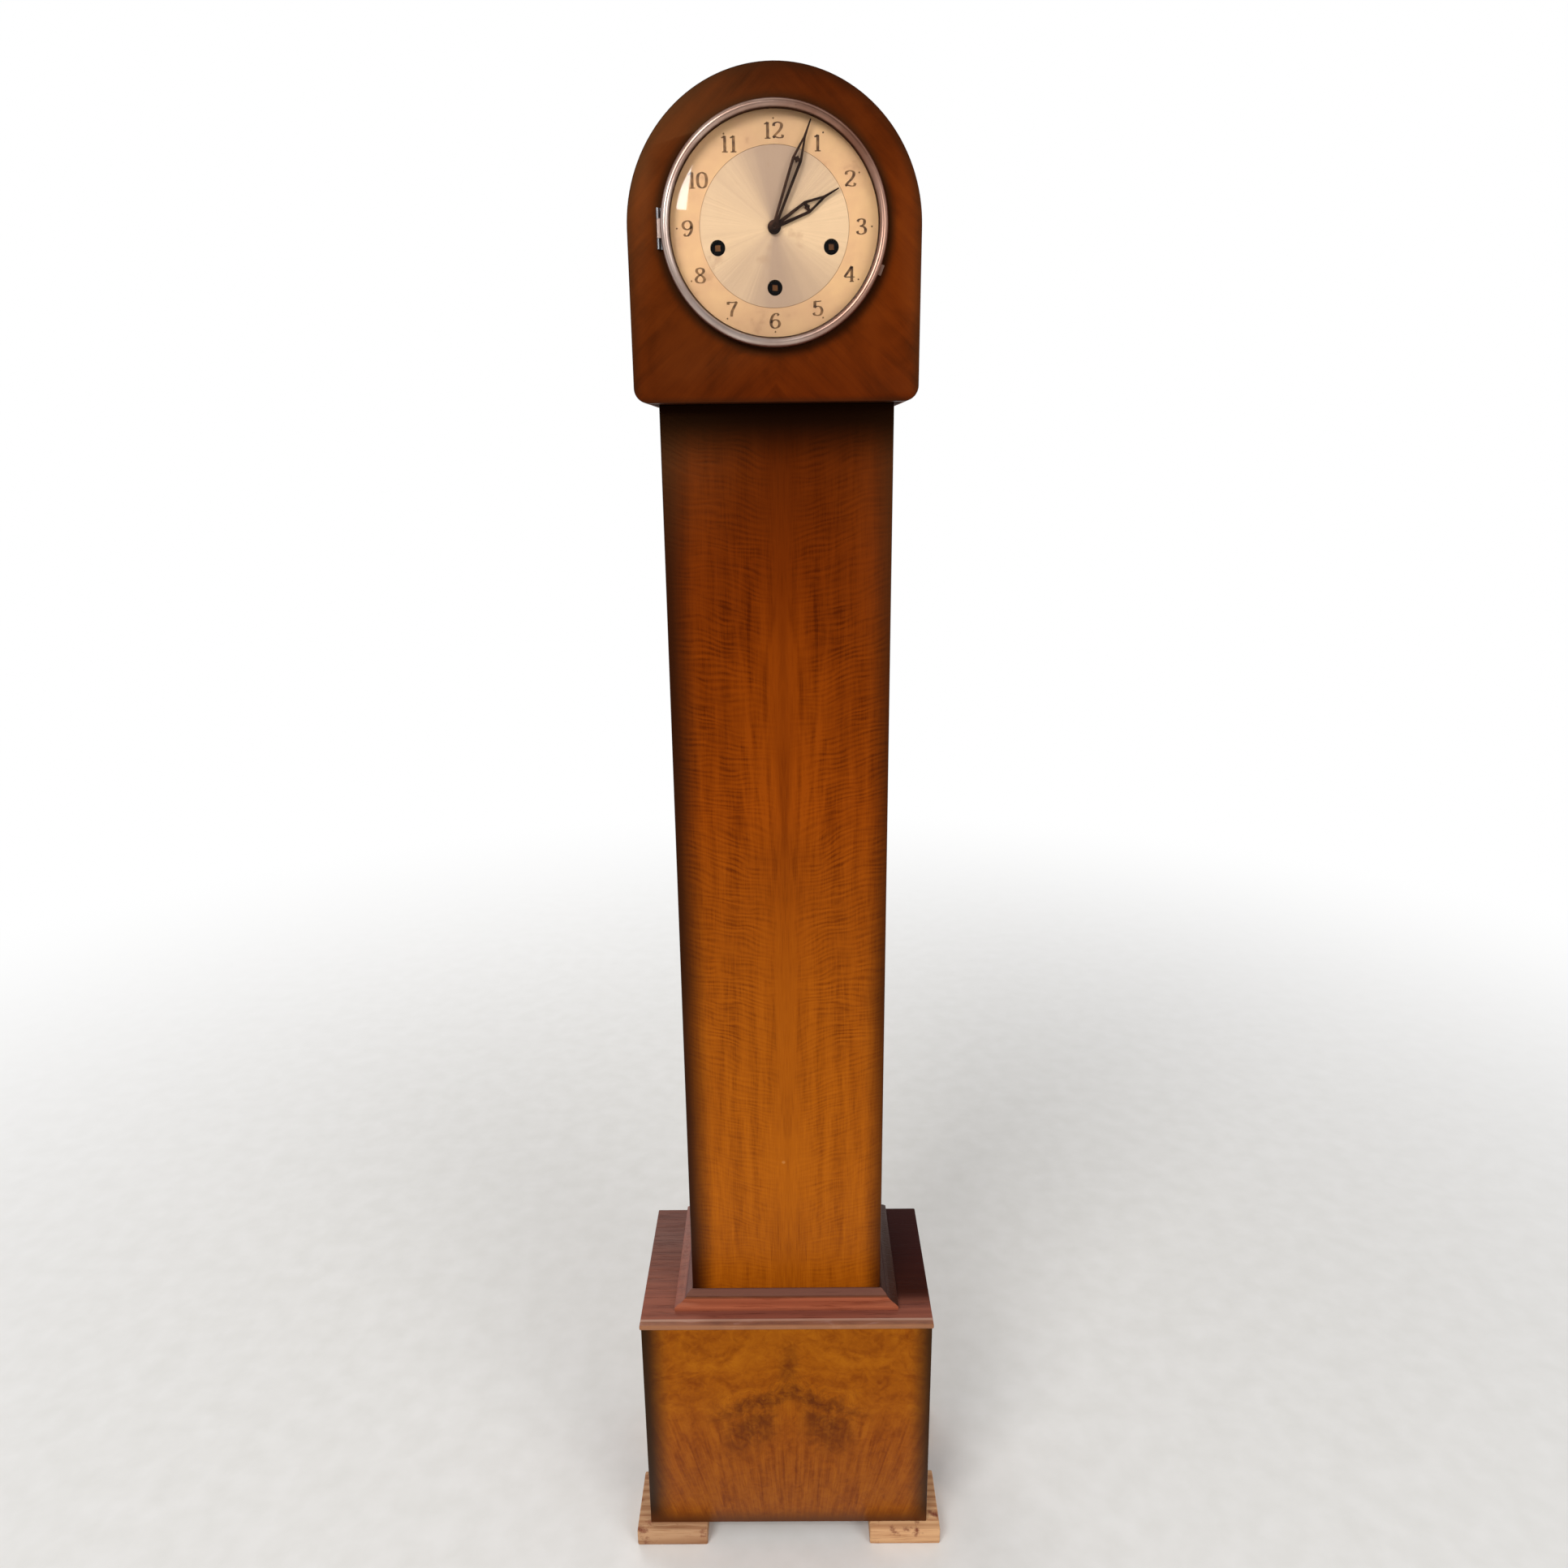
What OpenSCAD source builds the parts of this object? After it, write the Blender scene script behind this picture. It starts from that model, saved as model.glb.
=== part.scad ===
// A grandmother clock: box plinth, plain trunk, arched hood and a three-train chiming movement.
// Millimetres. The front faces -Y and +Z is up. The origin is on the floor under the middle.

/* [Plinth] */
// Width of the plinth box
plinth_w = 300; // [280:1:330]
// Depth of the plinth box
plinth_d = 188; // [186:1:205]
// Height of the plinth walls
plinth_h = 254; // [220:1:280]
// Thickness of the plinth walls
plinth_wall = 12; // [9:1:15]
// Thickness of the plinth's top board
plinth_top_t = 5; // [4:1:8]
// How far the top board stands past the walls
plinth_lip = 1.5; // [0:0.5:4]
// Thickness of the plinth's bottom board
plinth_bottom_t = 9; // [6:1:12]
// Height of the feet
foot_h = 20; // [14:1:30]
// Width and depth of a foot
foot_w = 76; // [60:1:85]
// How far the feet stand past the sides
foot_over_side = 14; // [8:1:18]
// How far the front feet stand past the front
foot_over_front = 10; // [4:1:14]

/* [Trunk] */
// Width of the trunk
trunk_w = 198; // [190:1:204]
// Height of the trunk
trunk_h = 901; // [860:1:940]
// Thickness of the trunk's front
trunk_front_t = 12; // [9:1:14]
// Thickness of the trunk's sides
trunk_side_t = 9; // [8:1:10]
// Thickness of the trunk's back
trunk_back_t = 6; // [4:1:8]
// How far the trunk's front stands behind the plinth's front
trunk_setback = 38; // [34:1:40]
// How far the moulding stands out from the trunk
mould_out = 18; // [14:1:22]
// Height of the moulding
mould_h = 14; // [11:1:18]

/* [Hood] */
// Radius of the hood's arch, which is half the hood's width
hood_r = 117; // [115:1:121]
// Height of the dial's centre over the hood's underside
dial_up = 131; // [127:1:136]
// How far the hood stands in front of the trunk
hood_out = 22; // [20:1:25]
// Radius of the hood's lower corners
hood_corner_r = 12; // [11:1:15]
// Thickness of the hood's front board
hood_front_t = 12; // [10:1:12]
// Thickness of the bent shell and of the hood's base
hood_wall = 10; // [8:1:10]
// Thickness of the hood's back panel and door
hood_back_t = 6; // [5:1:7]
// Width of the back door
door_w = 140; // [130:1:146]
// Height of the back door
door_h = 115; // [108:1:118]

/* [Dial] */
// Outer radius of the bezel
bezel_r = 89.7; // [89:0.1:91]
// Width of the bezel ring as seen from the front
bezel_band = 8.1; // [7:0.1:9]
// Depth of the bezel
bezel_deep = 12; // [11.5:0.1:12.5]
// Thickness of the glass
glass_t = 1.6; // [1.4:0.1:1.7]
// Rise of the glass dome
glass_rise = 4; // [3:0.5:5]
// Thickness of the dial plate
dial_t = 1; // [0.8:0.1:1.1]
// Radius of a winding hole
wind_hole_r = 6; // [5:0.1:6.5]
// Length of the minute hand
minute_len = 80.7; // [76:0.1:81]
// Length of the hour hand
hour_len = 57.8; // [54:0.1:60]
// Minutes that the clock shows
shown_minutes = 3.5; // [0:0.5:59.5]
// Hours that the clock shows
shown_hours = 2; // [0:1:11]

/* [Movement] */
// Gap between the movement's plates
plate_gap = 44; // [43.6:0.1:44.4]
// Thickness of a movement plate
plate_t = 2; // [1.6:0.1:2.4]
// Half width of the plates
plate_half_w = 75; // [74:0.5:78]
// Depth of the plates below the dial's centre
plate_down = 75; // [73:0.5:76]
// Radius of a spring barrel
barrel_r = 23.5; // [22:0.1:24]
// Width of the square on a winding arbor
square_w = 4.2; // [4.2:0.1:5.2]
// Radius of a pillar
pillar_r = 3.5; // [3:0.1:4.5]
// Distance from the pendulum's pivot to the middle of the bob
pendulum_len = 248; // [230:1:265]
// Radius of the bob
bob_r = 30; // [26:0.5:34]
// Thickness of the bob
bob_t = 14; // [10:0.5:16]
// Radius of a gong rod
gong_r = 1.5; // [1.2:0.1:1.7]
// Length of the longest gong rod
gong_len = 560; // [480:5:620]

/* [Hidden] */
$fn = 96;
// Running clearance of a shaft in its hole
run = 0.05;
// Clearance of a loose fit between wooden pieces
loose = 0.3;
// An arbor's shoulders stand this far from the plates
end_play = 0.6;
// A pivot ends this far inside the plate's outer face
pivot_in = 0.1;
// A cut reaches this far past the face that it opens
past = 1;

// Places from front to back
depth = plinth_d + foot_over_front;
back_y = depth / 2;
plinth_y = back_y - plinth_d;
trunk_y = plinth_y + trunk_setback;
hood_y = trunk_y - hood_out;
board_y = hood_y + hood_front_t;

// Places from the floor up
board_z = foot_h + plinth_h;
trunk_z = board_z + plinth_top_t;
hood_z = trunk_z + trunk_h;
dial_z = hood_z + dial_up;

// Colours
walnut = [0.42, 0.2, 0.06];
dark_walnut = [0.25, 0.1, 0.04];
plain_wood = [0.68, 0.5, 0.34];
brass = [0.78, 0.62, 0.28];
steel = [0.55, 0.56, 0.58];
silvered = [0.8, 0.72, 0.6];
blued = [0.1, 0.07, 0.06];

// A rod along Y from one place to another, at a place in the dial's frame
module rod(at, r, y0, y1) {
  translate([at.x, y0, dial_z + at.y]) rotate([-90, 0, 0]) cylinder(r = r, h = y1 - y0);
}

// A flat shape, drawn as seen from the front, made solid from one place to another along Y
module slab(y0, y1, at = [0, 0], turn = 0) {
  translate([at.x, y1, dial_z + at.y]) rotate([90, 0, 0])
    linear_extrude(y1 - y0) rotate([0, 0, turn]) children();
}

// A box from its low corner to its high corner
module block(low, high) {
  translate(low) cube(high - low);
}

// A point at a radius and an angle
function polar(r, a) = [r * cos(a), r * sin(a)];

// The point at one distance from a and another from b, on the given side of the line a to b
function meet(a, b, ra, rb, side) =
  let (d = norm(b - a), u = (b - a) / d, k = (ra * ra - rb * rb + d * d) / (2 * d))
  a + u * k + side * sqrt(ra * ra - k * k) * [-u.y, u.x];

// The direction from a to b
function towards(a, b) = atan2(b.y - a.y, b.x - a.x);

// Plinth: a box of four walls and a bottom on four block feet, closed by a thin top board
module feet() {
  color(plain_wood)
    for (side = [-1, 1], y = [-back_y, back_y - foot_w]) {
      outer = plinth_w / 2 + foot_over_side;
      translate([side > 0 ? outer - foot_w : -outer, y, 0]) cube([foot_w, foot_w, foot_h]);
    }
}

module plinth_front() {
  color(walnut)
    block([-plinth_w / 2, plinth_y, foot_h], [plinth_w / 2, plinth_y + plinth_wall, board_z]);
}

module plinth_sides() {
  color(dark_walnut)
    for (side = [0, 1])
      mirror([side, 0, 0])
        block([plinth_w / 2 - plinth_wall, plinth_y + plinth_wall, foot_h],
          [plinth_w / 2, back_y, board_z]);
}

module plinth_boards() {
  half = plinth_w / 2 - plinth_wall;
  color(plain_wood) {
    block([-half, back_y - plinth_wall, foot_h], [half, back_y, board_z]);
    block([-half, plinth_y + plinth_wall, foot_h],
      [half, back_y - plinth_wall, foot_h + plinth_bottom_t]);
  }
}

module plinth_top() {
  half = plinth_w / 2 + plinth_lip;
  color(dark_walnut)
    block([-half, plinth_y - plinth_lip, board_z], [half, back_y, trunk_z]);
}

// Trunk: a plain upright box whose moulding is mitred round its foot
module mould_profile() {
  polygon([
    [0, 0], [mould_out, 0], [mould_out, mould_h * 0.3], [mould_out * 0.88, mould_h * 0.36],
    for (a = [0 : 15 : 90]) [mould_out * (0.34 + 0.5 * (1 - sin(a))), mould_h * (0.78 - 0.4 * cos(a))],
    [mould_out * 0.26, mould_h * 0.84], [mould_out * 0.1, mould_h], [0, mould_h]
  ]);
}

// A length of moulding along +X from the origin, standing out towards -Y
module mould_run(length) {
  rotate([90, 0, 90]) linear_extrude(length) mirror([1, 0, 0]) mould_profile();
}

module trunk_moulding() {
  half = trunk_w / 2;
  side_len = back_y - trunk_y;
  color(dark_walnut) translate([0, trunk_y, trunk_z]) {
    difference() {
      translate([-half - mould_out, 0, 0]) mould_run(trunk_w + 2 * mould_out);
      for (side = [0, 1])
        mirror([side, 0, 0]) translate([half, 0, -past]) linear_extrude(mould_h + 2 * past)
          polygon([[0, 0], [3 * mould_out, -3 * mould_out], [3 * mould_out, past], [0, past]]);
    }
    for (side = [0, 1])
      mirror([side, 0, 0]) difference() {
        translate([half, -mould_out, 0]) rotate([0, 0, 90]) mould_run(side_len + mould_out);
        translate([half, 0, -past]) linear_extrude(mould_h + 2 * past)
          polygon([[0, 0], [3 * mould_out, -3 * mould_out], [-past, -3 * mould_out], [-past, 0]]);
      }
  }
}

module trunk_front() {
  color(walnut)
    block([-trunk_w / 2, trunk_y, trunk_z], [trunk_w / 2, trunk_y + trunk_front_t, hood_z]);
}

module trunk_sides() {
  color(dark_walnut)
    for (side = [0, 1])
      mirror([side, 0, 0])
        block([trunk_w / 2 - trunk_side_t, trunk_y + trunk_front_t, trunk_z],
          [trunk_w / 2, back_y, hood_z]);
}

module trunk_back() {
  half = trunk_w / 2 - trunk_side_t;
  color(plain_wood) block([-half, back_y - trunk_back_t, trunk_z], [half, back_y, hood_z]);
}

// Hood: a front board and a bent shell of one outline, round above and square below
module hood_outline(inset = 0) {
  r = hood_r - inset;
  low = dial_up - inset;
  corner = hood_corner_r - inset / 2;
  circle(r = r, $fn = 180);
  translate([-r, corner - low]) square([2 * r, low - corner]);
  translate([corner - r, -low]) square([2 * (r - corner), low]);
  for (x = [corner - r, r - corner]) translate([x, corner - low]) circle(r = corner);
}

base_half = hood_r - hood_corner_r;
dial_opening_r = 80;

module hood_front() {
  color(walnut) slab(hood_y, board_y) difference() {
    hood_outline();
    circle(r = dial_opening_r);
  }
}

module hood_shell() {
  color(dark_walnut) slab(board_y, back_y) difference() {
    hood_outline();
    hood_outline(hood_wall);
    translate([-base_half, -dial_up - past]) square([2 * base_half, hood_wall + 2 * past]);
  }
}

module hood_base() {
  half = trunk_w / 2 - trunk_side_t;
  color(dark_walnut) difference() {
    block([-base_half, board_y, hood_z], [base_half, back_y - hood_back_t, hood_z + hood_wall]);
    block([-half, trunk_y + trunk_front_t, hood_z - past],
      [half, back_y - trunk_back_t - hood_back_t, hood_z + hood_wall + past]);
  }
}

// Back: a fixed panel with a door hung on two butt hinges and held by a turn button
panel_y1 = back_y - 2;
panel_y0 = panel_y1 - hood_back_t;
door_gap = 0.5;
door_low = -52;
hinge_in = 20;
catch_out = 7;
catch_pin_r = 1.5;
knuckle_r = 1.9;
knuckle_len = 16;
pin_r = 0.8;
leaf_t = 0.8;
leaf_w = 12;
hinge_x = -door_w / 2 - door_gap / 2;
hinge_rows = [door_low + hinge_in, door_low + door_h - hinge_in];
catch_x = door_w / 2 + catch_out;
catch_z = door_low + door_h / 2;
button_y = panel_y1 + 0.2;
button_t = 1.2;
button_w = 6;
button_len = 22;

// Room for the hinges' knuckles
module knuckle_room() {
  for (z = hinge_rows)
    translate([hinge_x, panel_y1, dial_z + z - knuckle_len / 2 - loose])
      cylinder(r = knuckle_r + loose, h = knuckle_len + 2 * loose);
}

module hood_back() {
  color(plain_wood) difference() {
    slab(panel_y0, panel_y1) difference() {
      hood_outline(hood_wall + loose / 3);
      translate([-door_w / 2 - door_gap, door_low - door_gap])
        square([door_w + 2 * door_gap, door_h + 2 * door_gap]);
    }
    knuckle_room();
  }
}

module back_door() {
  color(plain_wood) difference() {
    slab(panel_y0, panel_y1) translate([-door_w / 2, door_low]) square([door_w, door_h]);
    knuckle_room();
  }
}

// One part of a knuckle, as a share of its length from one height to another
module knuckle(z, from, to, bore) {
  translate([hinge_x, panel_y1, dial_z + z + knuckle_len * (from - 0.5)]) difference() {
    cylinder(r = knuckle_r, h = knuckle_len * (to - from));
    if (bore > 0) translate([0, 0, -past]) cylinder(r = bore, h = knuckle_len + 2 * past);
  }
}

// A leaf of a hinge that lies on the panel's or the door's outer face
module leaf(z, side, from, to) {
  near = knuckle_r * 0.8;
  far = leaf_w;
  translate([hinge_x, panel_y1, dial_z + z + knuckle_len * (from - 0.5)])
    translate([side > 0 ? near : -far, 0, 0]) cube([far - near, leaf_t, knuckle_len * (to - from)]);
}

module door_hardware() {
  color(brass) {
    for (z = hinge_rows) {
      for (share = [[0, 0.32], [0.68, 1]]) {
        knuckle(z, share[0], share[1], 0);
        leaf(z, -1, share[0], share[1]);
      }
      translate([hinge_x - leaf_w, panel_y1, dial_z + z - knuckle_len / 2])
        cube([leaf_w - knuckle_r - loose, leaf_t, knuckle_len]);
      translate([hinge_x, panel_y1, dial_z + z - knuckle_len / 2])
        cylinder(r = pin_r, h = knuckle_len);
    }
    rod([catch_x, catch_z], catch_pin_r, panel_y1, back_y - 0.5);
    rod([catch_x, catch_z], 2 * catch_pin_r, back_y - 0.5, back_y);
  }
}

module door_hinge_leaves() {
  color(brass) for (z = hinge_rows) {
    knuckle(z, 0.34, 0.66, pin_r + run);
    leaf(z, 1, 0.34, 0.66);
    translate([hinge_x + knuckle_r + loose, panel_y1, dial_z + z - knuckle_len / 2])
      cube([leaf_w - knuckle_r - loose, leaf_t, knuckle_len]);
  }
}

module door_catch() {
  color(brass) slab(button_y, button_y + button_t, [catch_x, catch_z]) difference() {
    union() {
      circle(r = 4);
      translate([-button_w / 2, -button_len / 2]) square([button_w, button_len]);
    }
    circle(r = catch_pin_r + run);
  }
}

// Dial: a silvered plate on four feet, under a glass held in a hinged bezel
dial_r = 85.8;
dial_y = hood_y - dial_t;
dial_foot_len = 18;
front_plate_y = hood_y + dial_foot_len;
inner_y = front_plate_y + plate_t;
back_plate_y = inner_y + plate_gap;
rear_y = back_plate_y + plate_t;
pipe_hole_r = 4.2;
dial_feet = [[55, 30], [-55, 30], [30, -62], [-30, -62]];
dial_foot_r = 2.5;

// Places of the arbors as seen from the front, measured from the dial's centre
centre_at = [0, 0];
time_at = [0, -44];
strike_at = [-45, -14.4];
chime_at = [45, -14.4];

module dial_plate() {
  color(silvered) {
    slab(dial_y, hood_y) difference() {
      circle(r = dial_r, $fn = 180);
      circle(r = pipe_hole_r);
      for (at = [time_at, strike_at, chime_at]) translate(at) circle(r = wind_hole_r);
    }
    for (at = dial_feet) rod(at, dial_foot_r, hood_y, front_plate_y);
  }
}

bezel_gap = 1.2;
bezel_y = hood_y - bezel_gap;
seat_in = 2.7;
lip_in = bezel_deep - 3.8;

// The ring's section: radius against height over its back face
bezel_wall = bezel_deep / 2;
module bezel_section() {
  inner = bezel_r - bezel_band;
  mid = bezel_r - bezel_band / 2;
  round_h = bezel_deep - bezel_wall;
  polygon([
    [bezel_r - seat_in, 0], [bezel_r, 0], [bezel_r, bezel_wall],
    for (a = [15 : 15 : 165]) [mid + bezel_band / 2 * cos(a), bezel_wall + round_h * sin(a)],
    [inner, lip_in], [bezel_r - seat_in, lip_in]
  ]);
}

bezel_hinge_x = -bezel_r - 1.9;
bezel_knuckle_r = 1.5;
bezel_knuckle_y = hood_y - bezel_knuckle_r - 0.1;
bezel_hinge_len = 30;
bezel_middle = 14;
bezel_pin_r = 0.7;
bezel_leaf_t = 3;
tab_angle = -21;
tab_w = 8;
tab_out = 2;
tab_in = 1;
tab_y = bezel_y - 3;
tab_t = 2;

module bezel() {
  color([0.75, 0.77, 0.8]) difference() {
    union() {
      translate([0, bezel_y, dial_z]) rotate([90, 0, 0]) rotate_extrude($fn = 180) bezel_section();
      translate([bezel_hinge_x, bezel_knuckle_y, dial_z - bezel_middle / 2])
        cylinder(r = bezel_knuckle_r, h = bezel_middle);
      block([bezel_hinge_x, bezel_y - bezel_leaf_t, dial_z - bezel_middle / 2],
        [bezel_hinge_x + bezel_leaf_t, bezel_y, dial_z + bezel_middle / 2]);
      translate([0, 0, dial_z]) rotate([0, -tab_angle, 0])
        block([bezel_r - tab_in, tab_y - tab_t, -tab_w / 2], [bezel_r + tab_out, tab_y, tab_w / 2]);
    }
    translate([bezel_hinge_x, bezel_knuckle_y, dial_z - bezel_middle / 2 - past])
      cylinder(r = bezel_pin_r + run, h = bezel_middle + 2 * past);
  }
}

module bezel_hinge() {
  end = (bezel_hinge_len - bezel_middle) / 2 - loose;
  color([0.7, 0.73, 0.8]) {
    translate([bezel_hinge_x, bezel_knuckle_y, dial_z - bezel_hinge_len / 2])
      cylinder(r = bezel_pin_r, h = bezel_hinge_len);
    for (side = [0, 1]) translate([0, 0, dial_z]) mirror([0, 0, side]) {
      translate([bezel_hinge_x, bezel_knuckle_y, bezel_hinge_len / 2 - end])
        cylinder(r = bezel_knuckle_r, h = end);
      block([bezel_hinge_x, hood_y - leaf_t, bezel_hinge_len / 2 - end],
        [-dial_r - 0.4, hood_y, bezel_hinge_len / 2]);
    }
  }
}

glass_r = bezel_r - seat_in - 0.1;
glass_y = bezel_y - lip_in + glass_t + 0.1;
dome_r = bezel_r - bezel_band - 0.4;

module bezel_glass() {
  ball = (dome_r * dome_r + glass_rise * glass_rise) / (2 * glass_rise);
  spread = asin(dome_r / ball);
  color([0.8, 0.9, 0.95, 0.25]) translate([0, glass_y, dial_z]) rotate([90, 0, 0])
    rotate_extrude($fn = 180) polygon([
      [0, glass_rise],
      for (i = [1 : 8]) [ball * sin(spread * i / 8), ball * cos(spread * i / 8) - ball + glass_rise],
      [glass_r, 0], [glass_r, glass_t],
      for (i = [8 : -1 : 1])
        [ball * sin(spread * i / 8) * 0.995, ball * cos(spread * i / 8) - ball + glass_rise + glass_t],
      [0, glass_rise + glass_t]
    ]);
}

// Hands: pierced tapers with a crossbar at the shoulder and a solid tip
hour_step = 30;
minute_step = 6;
hour_turn = -(shown_hours + shown_minutes / 60) * hour_step;
minute_turn = -shown_minutes * minute_step;
hand_t = 0.8;
hand_neck = 0.55;
hour_hand_y = hood_y - 3.6;
minute_hand_y = hood_y - 5.4;
nut_y = hood_y - 6.6;
hour_pipe_r = 3.6;
cannon_r = 2.2;
centre_r = 1.2;
// Places of the shoulders as shares of the length, half widths there, and radii of the hubs
hour_shoulder = 0.51;
minute_shoulder = 0.63;
hour_half = 4.9;
minute_half = 4.2;
hour_hub = 5.3;
minute_hub = 4.4;

// A flat pierced hand with a bar and a pointed boss at its shoulder
module hand(y0, len, shoulder, half, hub, bore, turn) {
  root = 1.9;
  arm = 2.3;
  bar = 1.3;
  point = 0.5;
  y1 = y0 + hand_t;
  neck = shoulder + (len - shoulder) * hand_neck;
  slot = shoulder + (neck - shoulder) * 0.8;
  low = shoulder - bar;
  high = shoulder + bar;
  difference() {
    union() {
      slab(y0, y1, turn = turn) difference() {
        polygon([
          [-root, 0], [-half, shoulder], [-2 * point, neck], [-point, len],
          [point, len], [2 * point, neck], [half, shoulder], [root, 0]
        ]);
        polygon([[0, hub + 3], [arm - half, low], [-bar, low], [0, low - bar], [bar, low],
          [half - arm, low]]);
        polygon([[arm - half, high], [-bar, high], [0, high + bar], [bar, high],
          [half - arm, high], [0, slot]]);
      }
      rod(centre_at, hub, y0, y1);
    }
    rod(centre_at, bore, y0 - past, y1 + past);
  }
}

module hour_hand() {
  color(blued)
    hand(hour_hand_y, hour_len, hour_len * hour_shoulder, hour_half, hour_hub, hour_pipe_r, hour_turn);
}

module minute_hand() {
  color(blued)
    hand(minute_hand_y, minute_len, minute_len * minute_shoulder, minute_half, minute_hub, cannon_r,
      minute_turn);
}

module hand_nut() {
  color(brass) slab(nut_y, minute_hand_y) difference() {
    circle(r = 3.2);
    circle(r = centre_r + run);
  }
}

// Gears: flat teeth a little narrower than their gaps
function gear_r(teeth, size) = teeth * size / 2;

// The outline of a gear with the middle of a tooth along +X, or the middle of a gap
module gear_outline(teeth, size, gap_first = false) {
  r = gear_r(teeth, size);
  pitch = 360 / teeth;
  start = gap_first ? pitch / 2 : 0;
  low = r - size * 1.15;
  high = r + size * 0.8;
  polygon([for (i = [0 : teeth - 1], p = [[low, -0.25], [r, -0.19], [high, -0.08], [high, 0.08],
    [r, 0.19], [low, 0.25]]) polar(p[0], start + pitch * (i + p[1]))]);
}

// A wheel with a rim, spokes and a hub, from one place to another along Y
module wheel(at, teeth, size, y0, y1, turn, spokes = 4, hub = 3) {
  rim = gear_r(teeth, size) - size * 1.15 - 1.6;
  slab(y0, y1, at, turn) {
    difference() {
      gear_outline(teeth, size);
      circle(r = rim);
    }
    circle(r = hub);
    for (i = [1 : spokes]) rotate(i * 360 / spokes) translate([0, -0.9]) square([rim + 0.8, 1.8]);
  }
}

// A solid pinion with a gap towards its wheel
module pinion(at, teeth, size, y0, y1, turn) {
  slab(y0, y1, at, turn) gear_outline(teeth, size, true);
}

// Sizes of the teeth of each pair
great_size = 1.06;
second_size = 0.7;
centre_size = 0.5;
third_size = 0.45;
pin_size = 0.6;
great_teeth = 48;
second_teeth = 48;
centre_teeth = 72;
third_teeth = 80;
leaves = 8;
escape_teeth = 40;
drum_size = 0.8;
drum_drive_teeth = 24;
drum_teeth = 36;
great_reach = gear_r(great_teeth + leaves, great_size);

// Places of the other arbors
second_at = meet(time_at, centre_at, great_reach, gear_r(second_teeth + leaves, second_size), -1);
third_reach = gear_r(centre_teeth + leaves, centre_size);
third_at = polar(third_reach, 110);
escape_reach = gear_r(third_teeth + leaves, third_size);
escape_at = [0, third_at.y + sqrt(escape_reach * escape_reach - third_at.x * third_at.x)];
escape_r = 12.5;
anchor_at = [0, escape_at.y + escape_r + 4.1];
strike_wheel_at = strike_at + polar(great_reach, 80);
chime_wheel_at = chime_at + polar(great_reach, 100);
drum_at = chime_wheel_at + polar(gear_r(drum_drive_teeth + drum_teeth, drum_size), -10);
minute_at = polar(14.4, 45);
hammer_at = [62, -26];

// Layers between the plates, from the front plate's inner face
barrel_y0 = inner_y + 1.2;
barrel_room = 24;
great_y0 = inner_y + barrel_room;
great_y1 = great_y0 + 2.5;
second_y = great_y1 + 3;
centre_y = second_y + 4;
third_y = centre_y + 4.5;
escape_y = inner_y + 10;
wheel_t = 1.5;
arbor_r = 1.2;
pivot_r = 0.8;
pin_arbor_r = 1.5;
barrel_pivot_r = 3.2;
rear_pivot_r = 2.5;
barrel_arbor_r = 4;
pillar_at = [[67, -67], [-67, -67], [45, 42], [-45, 42]];
stud_r = 1;

// A hole through a plate for each pivot, with running clearance
module pivot_holes(front) {
  for (at = [time_at, strike_at, chime_at]) translate(at)
    circle(r = (front ? barrel_pivot_r : rear_pivot_r) + run);
  translate(centre_at) circle(r = (front ? centre_r : pivot_r) + run);
  for (at = [second_at, third_at, escape_at, strike_wheel_at]) translate(at)
    circle(r = pivot_r + run);
  translate(chime_wheel_at) circle(r = (front ? pivot_r : pin_arbor_r) + run);
  translate(anchor_at) circle(r = pivot_r + run);
  if (!front) translate(drum_at) circle(r = pivot_r + run);
}

module plate_outline() {
  tower = 22;
  top = 45;
  translate([-plate_half_w, -plate_down]) square([2 * plate_half_w, plate_down + top]);
  translate([-tower, 0]) square([2 * tower, anchor_at.y + 14]);
}

click_hub = 12;
click_angle = -30;
click_stud_r = 1.5;

module front_plate() {
  color(brass) {
    slab(front_plate_y, inner_y) difference() {
      plate_outline();
      pivot_holes(true);
    }
    for (at = [time_at, strike_at, chime_at])
      rod(at + polar(click_hub, click_angle), click_stud_r, ratchet_y - 0.5, front_plate_y);
    rod(minute_at, stud_r, hood_y + 6.6, front_plate_y);
    for (at = pillar_at) {
      rod(at, pillar_r, inner_y, back_plate_y);
      rod(at, pillar_r * 0.6, back_plate_y, rear_y + 3);
    }
  }
}

module back_plate() {
  color(brass) slab(back_plate_y, rear_y) difference() {
    plate_outline();
    pivot_holes(false);
    for (at = pillar_at) translate(at) circle(r = pillar_r * 0.6);
  }
}

module plate_nuts() {
  color(steel) for (at = pillar_at)
    slab(rear_y, rear_y + 2.5, at) difference() {
      circle(r = pillar_r + 0.8, $fn = 6);
      circle(r = pillar_r * 0.6);
    }
}

// Seat board across the hood, on cleats; a rail behind carries the gong
seat_t = 12;
seat_z = dial_z - plate_down - seat_t;
cleat_t = 12;
rail_down = 92;
rail_z = dial_z - rail_down;
rail_h = 34;
rail_t = 12;
hood_in = hood_r - hood_wall;
seat_y0 = board_y + 1;
seat_y1 = rear_y + 7;

module seat_board() {
  color(plain_wood)
    block([loose - hood_in, seat_y0, seat_z], [hood_in - loose, seat_y1, seat_z + seat_t]);
}

module hood_rails() {
  color(plain_wood) {
    for (side = [0, 1]) mirror([side, 0, 0])
      block([hood_in - cleat_t, seat_y0, seat_z - cleat_t], [hood_in, seat_y1, seat_z]);
    block([-hood_in, panel_y0 - rail_t, rail_z], [hood_in, panel_y0, rail_z + rail_h]);
  }
}

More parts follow.
